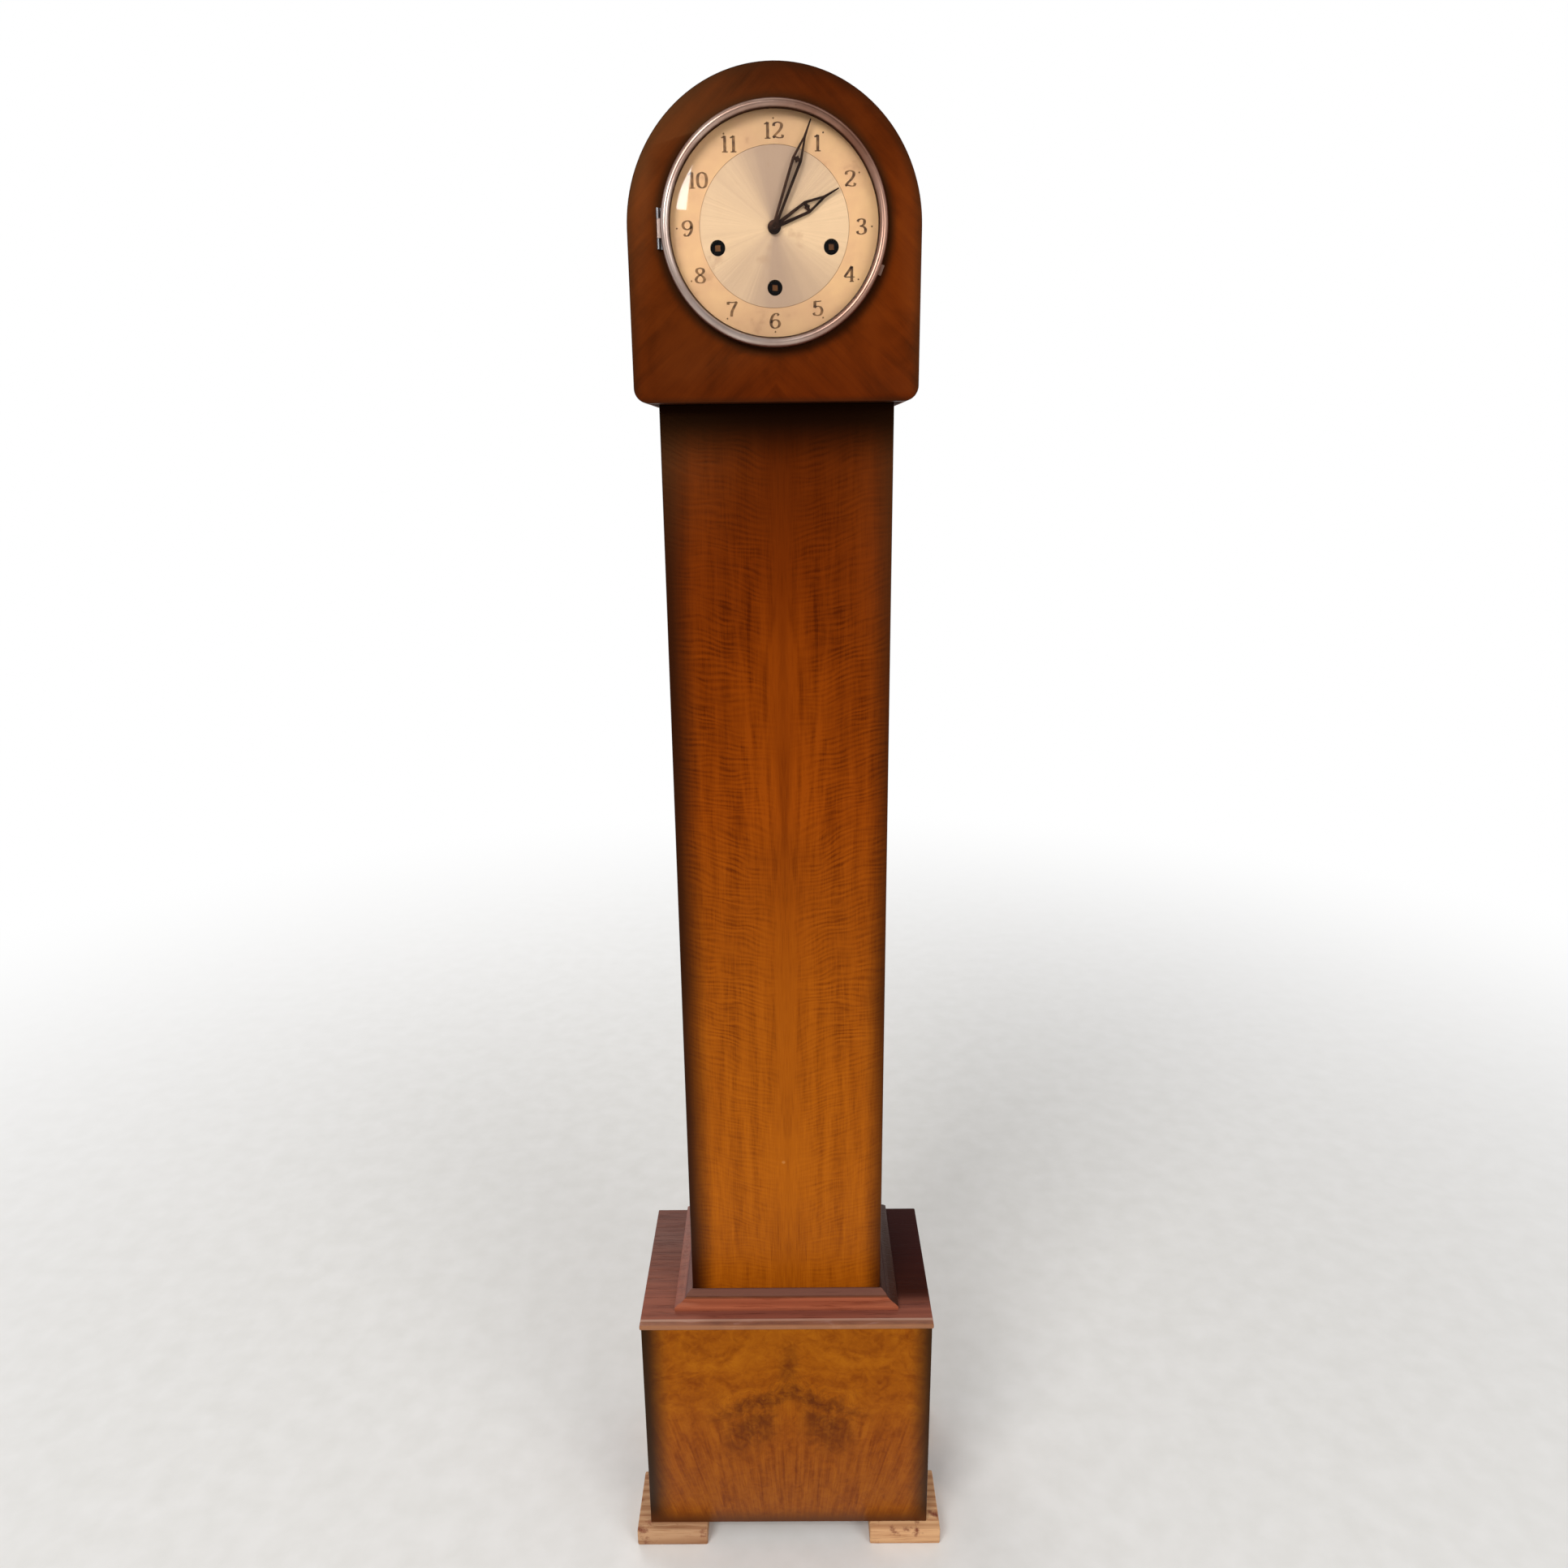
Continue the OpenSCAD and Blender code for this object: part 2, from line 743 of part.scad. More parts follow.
// A spring barrel: a closed drum with its great wheel at the rear end, free on its arbor
module barrel(at, turn) {
  color(brass) difference() {
    union() {
      rod(at, barrel_r, barrel_y0, great_y0);
      slab(great_y0, great_y1, at, turn) gear_outline(great_teeth, great_size);
      rod(at, barrel_arbor_r + 2.5, great_y1, great_y1 + 1.5);
    }
    rod(at, barrel_arbor_r + run, barrel_y0 - past, great_y1 + 1.5 + past);
  }
}

module time_barrel() { barrel(time_at, towards(time_at, second_at)); }
module strike_barrel() { barrel(strike_at, towards(strike_at, strike_wheel_at)); }
module chime_barrel() { barrel(chime_at, towards(chime_at, chime_wheel_at)); }

// A winding arbor: a square for the key, a ratchet wheel, and the shaft that carries the barrel
ratchet_teeth = 24;
ratchet_r = 8;
ratchet_low = 6.4;
ratchet_y = hood_y + 13;
ratchet_t = 2.5;

module ratchet_outline() {
  step = 360 / ratchet_teeth;
  polygon([for (i = [0 : ratchet_teeth - 1], r = [ratchet_low, ratchet_r]) polar(r, i * step)]);
}

module winding_arbor(at) {
  color(steel) {
    slab(hood_y + 0.2, ratchet_y, at) square(square_w, center = true);
    slab(ratchet_y, ratchet_y + ratchet_t, at) ratchet_outline();
    rod(at, barrel_pivot_r, ratchet_y + ratchet_t, inner_y + 0.8);
    rod(at, barrel_arbor_r, inner_y + 0.4, great_y1 + 2.5);
    rod(at, rear_pivot_r, great_y1 + 2.5, rear_y - pivot_in);
  }
}

module time_arbor() { winding_arbor(time_at); }
module strike_arbor() { winding_arbor(strike_at); }
module chime_arbor() { winding_arbor(chime_at); }

// A click: a pawl on a stud, its tip resting in a gap between two ratchet teeth
module click(at) {
  color(steel) slab(ratchet_y + 0.2, ratchet_y + ratchet_t - 0.2, at) difference() {
    union() {
      translate(polar(click_hub, click_angle)) circle(r = 2.6);
      polygon([polar(6.8, 13.8), polar(8.4, 0), polar(10, click_angle), polar(13.8, click_angle),
        polar(11, 8), polar(8.7, 14)]);
    }
    translate(polar(click_hub, click_angle)) circle(r = click_stud_r + run);
  }
}

module time_click() { click(time_at); }
module strike_click() { click(strike_at); }
module chime_click() { click(chime_at); }

// Going train, each arbor with its pinion and its wheel
module intermediate_wheel() {
  color(brass) {
    pinion(second_at, leaves, great_size, great_y0 - 2, second_y - 1, towards(second_at, time_at));
    wheel(second_at, second_teeth, second_size, second_y, second_y + wheel_t,
      towards(second_at, centre_at));
    rod(second_at, arbor_r, inner_y + end_play, second_y + wheel_t + 0.6);
    rod(second_at, pivot_r, front_plate_y + pivot_in, rear_y - pivot_in);
  }
}

module centre_wheel() {
  color(brass) {
    pinion(centre_at, leaves, second_size, second_y - 1.5, centre_y - 1, towards(centre_at, second_at));
    wheel(centre_at, centre_teeth, centre_size, centre_y, centre_y + wheel_t,
      towards(centre_at, third_at));
    rod(centre_at, centre_r, nut_y, back_plate_y - 0.4);
    rod(centre_at, pivot_r, back_plate_y - 0.5, rear_y - pivot_in);
  }
}

module third_wheel() {
  color(brass) {
    pinion(third_at, leaves, centre_size, centre_y - 1, third_y - 1, towards(third_at, centre_at));
    wheel(third_at, third_teeth, third_size, third_y, third_y + wheel_t,
      towards(third_at, escape_at), hub = 2.5);
    rod(third_at, 1, inner_y + end_play, back_plate_y - end_play);
    rod(third_at, pivot_r, front_plate_y + pivot_in, rear_y - pivot_in);
  }
}

module escape_outline() {
  step = 360 / escape_teeth;
  polygon([for (i = [0 : escape_teeth - 1], p = [[escape_r - 2, -0.42], [escape_r, 0.04],
    [escape_r, 0.1], [escape_r - 2, 0.18]]) polar(p[0], step * (i + p[1]))]);
}

module escape_wheel() {
  color(brass) {
    pinion(escape_at, leaves, third_size, third_y - 1, third_y + wheel_t + 1,
      towards(escape_at, third_at));
    slab(escape_y, escape_y + wheel_t, escape_at) {
      difference() {
        escape_outline();
        circle(r = escape_r - 3.6);
      }
      circle(r = 2.5);
      for (a = [0, 90, 180, 270]) rotate(a) translate([0, -0.7]) square([escape_r - 3, 1.4]);
    }
    rod(escape_at, 1, inner_y + end_play, back_plate_y - end_play);
    rod(escape_at, pivot_r, front_plate_y + pivot_in, rear_y - pivot_in);
  }
}

// The anchor: two pallets just outside the escape wheel, and the crutch behind the back plate
swing = 4;
pallet_angle = 38;
crutch_len = 40;
crutch_t = 1.4;
crutch_y = rear_y + 0.6;
hang_y = rear_y + 12;
rod_r = 1.5;

module anchor_arm(side) {
  tip = polar(escape_r + 1.15, 90 - side * pallet_angle) + escape_at - anchor_at;
  out = tip + [side * 2.4, 1.2];
  polygon([[0, 2.6], [side * 3, 2.2], out + [0, 1.8], out, tip, tip + [-side * 0.2, 1.6],
    [side * 2.6, -1.2], [0, -2]]);
}

module anchor() {
  color(steel) {
    slab(escape_y - 0.5, escape_y + wheel_t + 0.5, anchor_at) {
      circle(r = 2.6);
      for (side = [-1, 1]) anchor_arm(side);
    }
    rod(anchor_at, arbor_r, inner_y + end_play, back_plate_y - end_play);
    rod(anchor_at, pivot_r, front_plate_y + pivot_in, rear_y + 0.8);
    slab(crutch_y, crutch_y + crutch_t, anchor_at) {
      circle(r = 3);
      translate([-1.5, -crutch_len]) square([3, crutch_len]);
      translate([-3.4, -crutch_len - 1]) square([6.8, 2.4]);
    }
    for (side = [-1, 1])
      rod(anchor_at + [side * (rod_r + 1), -crutch_len], 0.8, crutch_y + crutch_t, hang_y + 3);
  }
}

// Suspension: a cock on the back plate whose pin carries the pendulum
eye_r = 2.6;
hang_pin_r = 1;
hang_half = 2.7;
cock_w = 18;
cock_h = 8;
cock_up = 5;
cock_t = 3;
ear_t = 1.5;
ear_w = 6;
ear_down = 2.4;

module suspension_cock() {
  near = hang_y - hang_half - 0.4;
  far = hang_y + hang_half + 0.4;
  color(brass) {
    slab(rear_y, rear_y + 2, anchor_at) translate([-cock_w / 2, cock_up]) square([cock_w, cock_h]);
    slab(rear_y + 2, far + ear_t, anchor_at) translate([-cock_w / 2, cock_up]) square([cock_w, cock_t]);
    for (y = [near - ear_t, far])
      slab(y, y + ear_t, anchor_at)
        translate([-ear_w / 2, -ear_down]) square([ear_w, ear_down + cock_up + 0.2]);
    rod(anchor_at, hang_pin_r, near, far);
  }
}

module pendulum_rod() {
  strip = 14;
  stub = 4;
  bottom = pendulum_len + bob_r + 12;
  color(steel) {
    slab(hang_y - hang_half, hang_y + hang_half, anchor_at) difference() {
      circle(r = eye_r);
      circle(r = hang_pin_r + run);
    }
    slab(hang_y - hang_half, hang_y + hang_half, anchor_at) {
      translate([-0.2, -2 - strip]) square([0.4, strip]);
      translate([-2, -2 - strip - stub]) square([4, stub]);
    }
    translate([0, hang_y, dial_z + anchor_at.y - bottom])
      cylinder(r = rod_r, h = bottom - 2 - strip - stub + 0.5);
  }
}

module pendulum_bob() {
  edge = 1.2;
  half = bob_t / 2;
  ball = (bob_r * bob_r + (half - edge) * (half - edge)) / (2 * (half - edge));
  spread = asin(bob_r / ball);
  color(brass) translate([0, hang_y, dial_z + anchor_at.y - pendulum_len]) difference() {
    rotate([90, 0, 0]) rotate_extrude() polygon([
      for (i = [0 : 8]) [ball * sin(spread * i / 8), ball * cos(spread * i / 8) - ball + half],
      for (i = [8 : -1 : 0]) [ball * sin(spread * i / 8), ball - ball * cos(spread * i / 8) - half]
    ]);
    translate([0, 0, -bob_r - past]) cylinder(r = rod_r + run, h = 2 * bob_r + 2 * past);
  }
}

module rating_nut() {
  nut_r = 5;
  nut_h = 5;
  low = dial_z + anchor_at.y - pendulum_len - bob_r - nut_h - 0.5;
  color(brass) translate([0, hang_y, low]) difference() {
    cylinder(r = nut_r, h = nut_h);
    translate([0, 0, -past]) cylinder(r = rod_r + run, h = nut_h + 2 * past);
  }
}

// Motion work between the dial and the front plate
cannon_teeth = 12;
minute_teeth = 36;
motion_size = 0.6;
hour_leaves = 10;
hour_teeth = 40;
hour_size = 0.576;
cannon_t = 2.5;
cannon_y = hood_y + 12.5;
hour_y = hood_y + 8;

module cannon_pinion() {
  color(brass) difference() {
    union() {
      slab(cannon_y, cannon_y + cannon_t, centre_at, towards(centre_at, minute_at))
        gear_outline(cannon_teeth, motion_size);
      rod(centre_at, cannon_r, minute_hand_y, cannon_y);
    }
    rod(centre_at, centre_r + run, minute_hand_y - past, cannon_y + cannon_t + past);
  }
}

module minute_wheel() {
  color(brass) difference() {
    union() {
      slab(cannon_y + 0.4, cannon_y + 1.9, minute_at, towards(minute_at, centre_at))
        gear_outline(minute_teeth, motion_size, true);
      slab(hour_y - 0.6, cannon_y + 0.5, minute_at, towards(minute_at, centre_at))
        gear_outline(hour_leaves, hour_size, true);
    }
    rod(minute_at, stud_r + run, hour_y - 0.6 - past, cannon_y + 2 + past);
  }
}

module hour_wheel() {
  color(brass) difference() {
    union() {
      slab(hour_y, hour_y + wheel_t, centre_at, towards(centre_at, minute_at))
        gear_outline(hour_teeth, hour_size);
      rod(centre_at, hour_pipe_r, hour_hand_y, hour_y);
    }
    rod(centre_at, cannon_r + run, hour_hand_y - past, hour_y + wheel_t + past);
  }
}

// Striking and chiming: a pin wheel, and a pinned drum behind the back plate
module strike_wheel() {
  pins = 8;
  color(brass) {
    pinion(strike_wheel_at, leaves, great_size, great_y0 - 2, second_y - 1,
      towards(strike_wheel_at, strike_at));
    wheel(strike_wheel_at, second_teeth, pin_size, second_y, second_y + wheel_t, 0);
    for (i = [1 : pins])
      rod(strike_wheel_at + polar(gear_r(second_teeth, pin_size) - 2, i * 360 / pins), 0.6,
        second_y + wheel_t, second_y + wheel_t + 3);
    rod(strike_wheel_at, arbor_r, inner_y + end_play, back_plate_y - end_play);
    rod(strike_wheel_at, pivot_r, front_plate_y + pivot_in, rear_y - pivot_in);
  }
}

drive_y = rear_y + 3;
drive_t = 2.5;

module chime_wheel() {
  color(brass) {
    pinion(chime_wheel_at, leaves, great_size, great_y0 - 2, second_y - 1,
      towards(chime_wheel_at, chime_at));
    wheel(chime_wheel_at, second_teeth, pin_size, second_y, second_y + wheel_t, 0);
    rod(chime_wheel_at, pin_arbor_r, inner_y + end_play, drive_y + 3);
    rod(chime_wheel_at, pivot_r, front_plate_y + pivot_in, inner_y + 1);
    slab(drive_y, drive_y + drive_t, chime_wheel_at, towards(chime_wheel_at, drum_at))
      gear_outline(drum_drive_teeth, drum_size);
  }
}

hammer_rows = [18, 28, 38, 48];
hammer_t = 4;
drum_r = 10;
drum_pin = 2.3;
drum_stagger = 13;
bracket_y = rear_y + hammer_rows[3] + 6;
bracket_t = 2;

module chime_drum() {
  pins = 7;
  color(brass) {
    pinion(drum_at, drum_teeth, drum_size, drive_y, drive_y + drive_t,
      towards(drum_at, chime_wheel_at));
    rod(drum_at, drum_r, rear_y + hammer_rows[0] - 5, rear_y + hammer_rows[3] + 5);
    rod(drum_at, arbor_r, rear_y + 0.5, bracket_y - 0.4);
    rod(drum_at, pivot_r, back_plate_y + pivot_in, bracket_y + bracket_t - pivot_in);
    for (row = [0 : 3], i = [0 : pins - 1])
      translate([drum_at.x, rear_y + hammer_rows[row], dial_z + drum_at.y])
        rotate([0, i * 360 / pins + row * drum_stagger, 0]) translate([0, 0, drum_r - 0.6])
          cylinder(r = 0.6, h = drum_pin + 0.6, $fn = 24);
  }
}

post_at = [[50, -20], [72, -14], [50, 28]];
bracket_left = 47;
bracket_right = 76;
bracket_neck = 66;
bracket_low = -31;
bracket_shoulder = 14;
bracket_top = 32;

module chime_bracket() {
  color(brass) {
    slab(bracket_y, bracket_y + bracket_t) difference() {
      polygon([
        [bracket_left, bracket_low], [bracket_right, bracket_low], [bracket_right, bracket_shoulder],
        [bracket_neck, bracket_shoulder + 8], [bracket_left + 7, bracket_top],
        [bracket_left, bracket_top]
      ]);
      translate(drum_at) circle(r = pivot_r + run);
    }
    for (at = post_at) rod(at, 2, rear_y, bracket_y);
    rod(hammer_at, pin_arbor_r, rear_y, bracket_y);
  }
}

// Hammers: an arm on the shared pivot rod, with a tail under the drum and a head at the gong
head_down = 64;
head_r = 4;
head_len = 12;
tail_len = norm(drum_at - hammer_at) - drum_r - drum_pin - 0.8;

module hammer(row) {
  y = rear_y + hammer_rows[row];
  color(steel) {
    slab(y - hammer_t / 2, y + hammer_t / 2, hammer_at) difference() {
      union() {
        circle(r = 3);
        translate([-1.2, -head_down]) square([2.4, head_down]);
        rotate(towards(hammer_at, drum_at) - 90) translate([-1, 0]) square([2, tail_len]);
      }
      circle(r = pin_arbor_r + run);
    }
    translate([hammer_at.x - head_len / 2, y, dial_z + hammer_at.y - head_down])
      rotate([0, 90, 0]) cylinder(r = head_r, h = head_len);
  }
}

module hammer_1() { hammer(0); }
module hammer_2() { hammer(1); }
module hammer_3() { hammer(2); }
module hammer_4() { hammer(3); }

// Gong: a cast block on the rail, with four rods of unequal length let into it
gong_x = hammer_at.x + head_len / 2 + 2.5 + gong_r;
gong_z = dial_z + hammer_at.y - head_down + head_r + 2;
gong_block_h = 22;
gong_in = 10;
gong_step = 40;

module gong_block() {
  rail_y = panel_y0 - rail_t;
  half = 6;
  color([0.2, 0.2, 0.2]) difference() {
    union() {
      block([gong_x - half, rear_y + hammer_rows[0] - 5, gong_z],
        [gong_x + half, rail_y, gong_z + gong_block_h]);
      block([gong_x - 12, rail_y - 3, gong_z], [gong_x + 12, rail_y, gong_z + gong_block_h]);
    }
    for (y = hammer_rows) translate([gong_x, rear_y + y, gong_z - past])
      cylinder(r = gong_r, h = gong_in + past);
  }
}

module gong_rods() {
  color(steel) for (i = [0 : 3]) {
    len = gong_len - i * gong_step;
    translate([gong_x, rear_y + hammer_rows[i], gong_z - len]) cylinder(r = gong_r, h = len + gong_in);
  }
}

feet();
plinth_boards();
plinth_front();
plinth_sides();
plinth_top();
trunk_moulding();
trunk_front();
trunk_sides();
trunk_back();
hood_base();
hood_front();
hood_shell();
hood_back();
hood_rails();
seat_board();
back_door();
door_hardware();
door_hinge_leaves();
door_catch();
dial_plate();
bezel();
bezel_glass();
bezel_hinge();
hour_hand();
minute_hand();
hand_nut();
front_plate();
back_plate();
plate_nuts();
time_barrel();
strike_barrel();
chime_barrel();
time_arbor();
strike_arbor();
chime_arbor();
time_click();
strike_click();
chime_click();
intermediate_wheel();
centre_wheel();
third_wheel();
escape_wheel();
anchor();
suspension_cock();
pendulum_rod();
pendulum_bob();
rating_nut();
cannon_pinion();
minute_wheel();
hour_wheel();
strike_wheel();
chime_wheel();
chime_drum();
chime_bracket();
hammer_1();
hammer_2();
hammer_3();
hammer_4();
gong_block();
gong_rods();
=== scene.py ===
import math

import bmesh
import bpy
from mathutils import Matrix, Vector


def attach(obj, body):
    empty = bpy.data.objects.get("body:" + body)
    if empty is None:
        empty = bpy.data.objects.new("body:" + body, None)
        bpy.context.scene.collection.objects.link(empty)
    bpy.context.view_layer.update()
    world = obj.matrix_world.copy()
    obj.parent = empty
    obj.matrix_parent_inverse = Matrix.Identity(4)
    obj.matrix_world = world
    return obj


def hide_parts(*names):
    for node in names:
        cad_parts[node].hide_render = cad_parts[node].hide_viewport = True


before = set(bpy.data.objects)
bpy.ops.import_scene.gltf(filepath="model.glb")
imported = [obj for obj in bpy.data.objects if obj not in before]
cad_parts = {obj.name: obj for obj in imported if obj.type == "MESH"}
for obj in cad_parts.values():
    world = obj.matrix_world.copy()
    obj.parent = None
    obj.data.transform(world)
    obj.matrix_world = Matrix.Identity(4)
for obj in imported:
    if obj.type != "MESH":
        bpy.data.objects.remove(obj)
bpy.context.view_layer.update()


# THE CAMERA AND THE ROOM
# The photograph was taken from just over a metre away, at the height of the trunk's top,
# looking a little down. Lens, place and angles come from a fit to the case's own corners.
eye, focal_length = (0.00901, -1.06712, 1.14089), 26.345
lens_data = bpy.data.cameras.new("camera")
lens_data.sensor_width = 36
lens_data.lens = focal_length
camera = bpy.data.objects.new("camera", lens_data)
bpy.context.scene.collection.objects.link(camera)
look_turn, look_down, look_roll = math.radians(0.34), math.radians(16.15), math.radians(-0.59)
camera.matrix_world = (
    Matrix.Translation(eye)
    @ Matrix.Rotation(look_turn, 4, "Z")
    @ Matrix.Rotation(math.pi / 2 - look_down, 4, "X")
    @ Matrix.Rotation(look_roll, 4, "Z")
)
bpy.context.scene.camera = camera
bpy.context.scene.view_settings.view_transform = "Standard"


def colour(red, green, blue):
    """A colour as it looks on a screen, 0 to 255, turned into the light it stands for."""
    parts = []
    for value in (red, green, blue):
        value /= 255
        parts.append(value / 12.92 if value <= 0.04045 else ((value + 0.055) / 1.055) ** 2.4)
    return (*parts, 1.0)


def add(tree, kind, inputs=None, out=0, **settings):
    """Adds one shader node, fills its inputs with values or links, and returns an output."""
    made = tree.nodes.new("ShaderNode" + kind)
    for name, value in settings.items():
        setattr(made, name, value)
    for name, value in (inputs or {}).items():
        if isinstance(value, bpy.types.NodeSocket):
            tree.links.new(value, made.inputs[name])
        else:
            made.inputs[name].default_value = value
    return made.outputs[out]


def sum_of(tree, how, first, second=0.0, third=0.0):
    """One step of arithmetic on two or three values."""
    return add(tree, "Math", {0: first, 1: second, 2: third}, operation=how)


def product(tree, first, *others):
    """Several values multiplied together."""
    for other in others:
        first = sum_of(tree, "MULTIPLY", first, other)
    return first


def ramp(tree, value, *stops):
    """Turns a value into colours, by stops of place and colour."""
    made = tree.nodes.new("ShaderNodeValToRGB")
    tree.links.new(value, made.inputs[0])
    points = made.color_ramp.elements
    while len(points) < len(stops):
        points.new(0.5)
    for point, (place, shade) in zip(points, stops):
        point.position = place
        point.color = shade if isinstance(shade, tuple) else (shade, shade, shade, 1)
    return made.outputs[0]


def mix(tree, amount, low, high, how="MIX"):
    """Mixes two colours, or multiplies or screens them."""
    made = tree.nodes.new("ShaderNodeMix")
    made.data_type = "RGBA"
    made.blend_type = how
    for place, value in ((0, amount), (6, low), (7, high)):
        if isinstance(value, bpy.types.NodeSocket):
            tree.links.new(value, made.inputs[place])
        else:
            made.inputs[place].default_value = value
    return made.outputs[2]


# The room is lit by a white sky. What the camera and clear glass see of it is plain white.
# In mirrors it is white behind and beside the clock, and dim where the camera stands.
world = bpy.data.worlds.new("room")
bpy.context.scene.world = world
world.use_nodes = True
tree = world.node_tree
sky = tree.nodes["Background"]
rays = tree.nodes.new("ShaderNodeLightPath")
seen = sum_of(tree, "MAXIMUM", rays.outputs["Is Camera Ray"], rays.outputs["Is Transmission Ray"])
heading = add(tree, "SeparateXYZ", {0: add(tree, "TexCoord", out=3)}, out=1)
dim_until, bright_from, dimmest, brightest, sky_strength = -0.75, 0.1, 0.12, 0.97, 0.5
behind = add(tree, "MapRange", {0: heading, 1: dim_until, 2: bright_from},
             interpolation_type="SMOOTHSTEP")
mirrored = sum_of(tree, "MULTIPLY_ADD", behind, brightest - dimmest, dimmest)
lit = sum_of(tree, "MULTIPLY_ADD", seen, 1 - sky_strength, sky_strength)
glossy = sum_of(tree, "MINIMUM", rays.outputs["Is Glossy Ray"], rays.outputs["Glossy Depth"])
glossy = add(tree, "Mix", {0: glossy, 2: lit, 3: mirrored})
tree.links.new(glossy, sky.inputs["Strength"])
sky.inputs["Color"].default_value = (1, 1, 1, 1)

# Two soft boxes light the front, and a weaker one the back.
for name, place, aim, size, watts in (
    ("key", (-1.1, -2.1, 2.4), (0, 0, 0.9), 1.2, 44),
    ("fill", (1.6, -2.1, 1.5), (0, 0, 0.8), 1.4, 26),
    ("back", (-1.1, 2.3, 2.0), (0, 0, 0.7), 1.4, 20),
):
    light_data = bpy.data.lights.new(name, "AREA")
    light_data.energy = watts
    light_data.size = size
    light = bpy.data.objects.new(name, light_data)
    bpy.context.scene.collection.objects.link(light)
    place = Vector(place)
    turn = (Vector(aim) - place).to_track_quat("-Z", "Y").to_matrix().to_4x4()
    light.matrix_world = Matrix.Translation(place) @ turn

# The floor is a matt pale sheet that turns into the white of the room further out.
bpy.ops.object.select_all(action="DESELECT")
floor_size, white_from, white_to, mirrored_share = 24, 0.5, 2.6, 0.35
bpy.ops.mesh.primitive_plane_add(size=floor_size, location=(0, 0, 0))
floor = bpy.context.object
floor.name = "floor"
floor_paint = bpy.data.materials.new("floor_paint")
floor_paint.use_nodes = True
tree = floor_paint.node_tree
shader = tree.nodes["Principled BSDF"]
shader.inputs["Roughness"].default_value = 0.9
shader.inputs["Specular IOR Level"].default_value = 0.1
place = add(tree, "TexCoord", out=3)
mottle = add(tree, "TexNoise", {"Vector": place, "Scale": 30, "Detail": 4})
tree.links.new(
    ramp(tree, mottle, (0.3, colour(226, 224, 220)), (0.7, colour(232, 230, 227))),
    shader.inputs["Base Color"],
)
distance = add(tree, "VectorMath", {0: place}, out=1, operation="LENGTH")
rays = tree.nodes.new("ShaderNodeLightPath")
seen = sum_of(tree, "MAXIMUM", rays.outputs["Is Camera Ray"], rays.outputs["Is Transmission Ray"])
seen = sum_of(tree, "MULTIPLY_ADD", rays.outputs["Is Glossy Ray"], mirrored_share, seen)
far = add(tree, "MapRange", {0: distance, 1: white_from, 2: white_to},
          interpolation_type="SMOOTHSTEP")
glow = tree.nodes.new("ShaderNodeEmission")
both = tree.nodes.new("ShaderNodeMixShader")
tree.links.new(product(tree, seen, far), both.inputs[0])
tree.links.new(shader.outputs[0], both.inputs[1])
tree.links.new(glow.outputs[0], both.inputs[2])
tree.links.new(both.outputs[0], tree.nodes["Material Output"].inputs[0])
floor.data.materials.append(floor_paint)


# THE FEET
# Four plain blocks of pale softwood, sawn to length and glued and pinned under the plinth,
# standing a little proud of it at the front and sides. The stain only just reached them.
def eased(name, body, radius=0.0, steps=2, smooth=40):
    """A copy of a piece from the construction with its sharp edges rounded by a tool."""
    same_place, same_plane, sharp = 1e-6, math.radians(0.5), math.radians(35)
    bpy.ops.object.select_all(action="DESELECT")
    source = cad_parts[name]
    piece = source.copy()
    piece.data = source.data.copy()
    piece.name = name + "_shown"
    bpy.context.scene.collection.objects.link(piece)
    bpy.context.view_layer.objects.active = piece
    piece.select_set(True)
    bpy.ops.object.mode_set(mode="EDIT")
    bpy.ops.mesh.select_all(action="SELECT")
    bpy.ops.mesh.remove_doubles(threshold=same_place)
    if radius:
        bpy.ops.mesh.dissolve_limited(angle_limit=same_plane)
    bpy.ops.object.mode_set(mode="OBJECT")
    bpy.ops.mesh.customdata_custom_splitnormals_clear()
    if radius:
        edge = piece.modifiers.new("edge", "BEVEL")
        edge.width = radius
        edge.segments = steps
        edge.limit_method = "ANGLE"
        edge.angle_limit = sharp
        bpy.ops.object.modifier_apply(modifier="edge")
    bpy.ops.object.shade_smooth_by_angle(angle=math.radians(smooth))
    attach(piece, body)
    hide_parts(name)
    return piece


# The polish is an amber one, so what shines in it is tinted.
amber = colour(255, 178, 104)


def material(name, **sockets):
    """A new material, its node tree and its shader, with what is the same all over set."""
    made = bpy.data.materials.new(name)
    made.use_nodes = True
    shader = made.node_tree.nodes["Principled BSDF"]
    for socket, value in sockets.items():
        shader.inputs[socket.replace("_", " ")].default_value = value
    return made, made.node_tree, shader


def finish_with(piece, made):
    """Gives a piece one material all over."""
    piece.data.materials.clear()
    piece.data.materials.append(made)
    for face in piece.data.polygons:
        face.material_index = 0


def bump(tree, shader, height, depth):
    """Raises and sinks the surface by a value, to a depth in metres."""
    relief = add(tree, "Bump", {"Height": height, "Strength": 1.0, "Distance": depth})
    tree.links.new(relief, shader.inputs["Normal"])


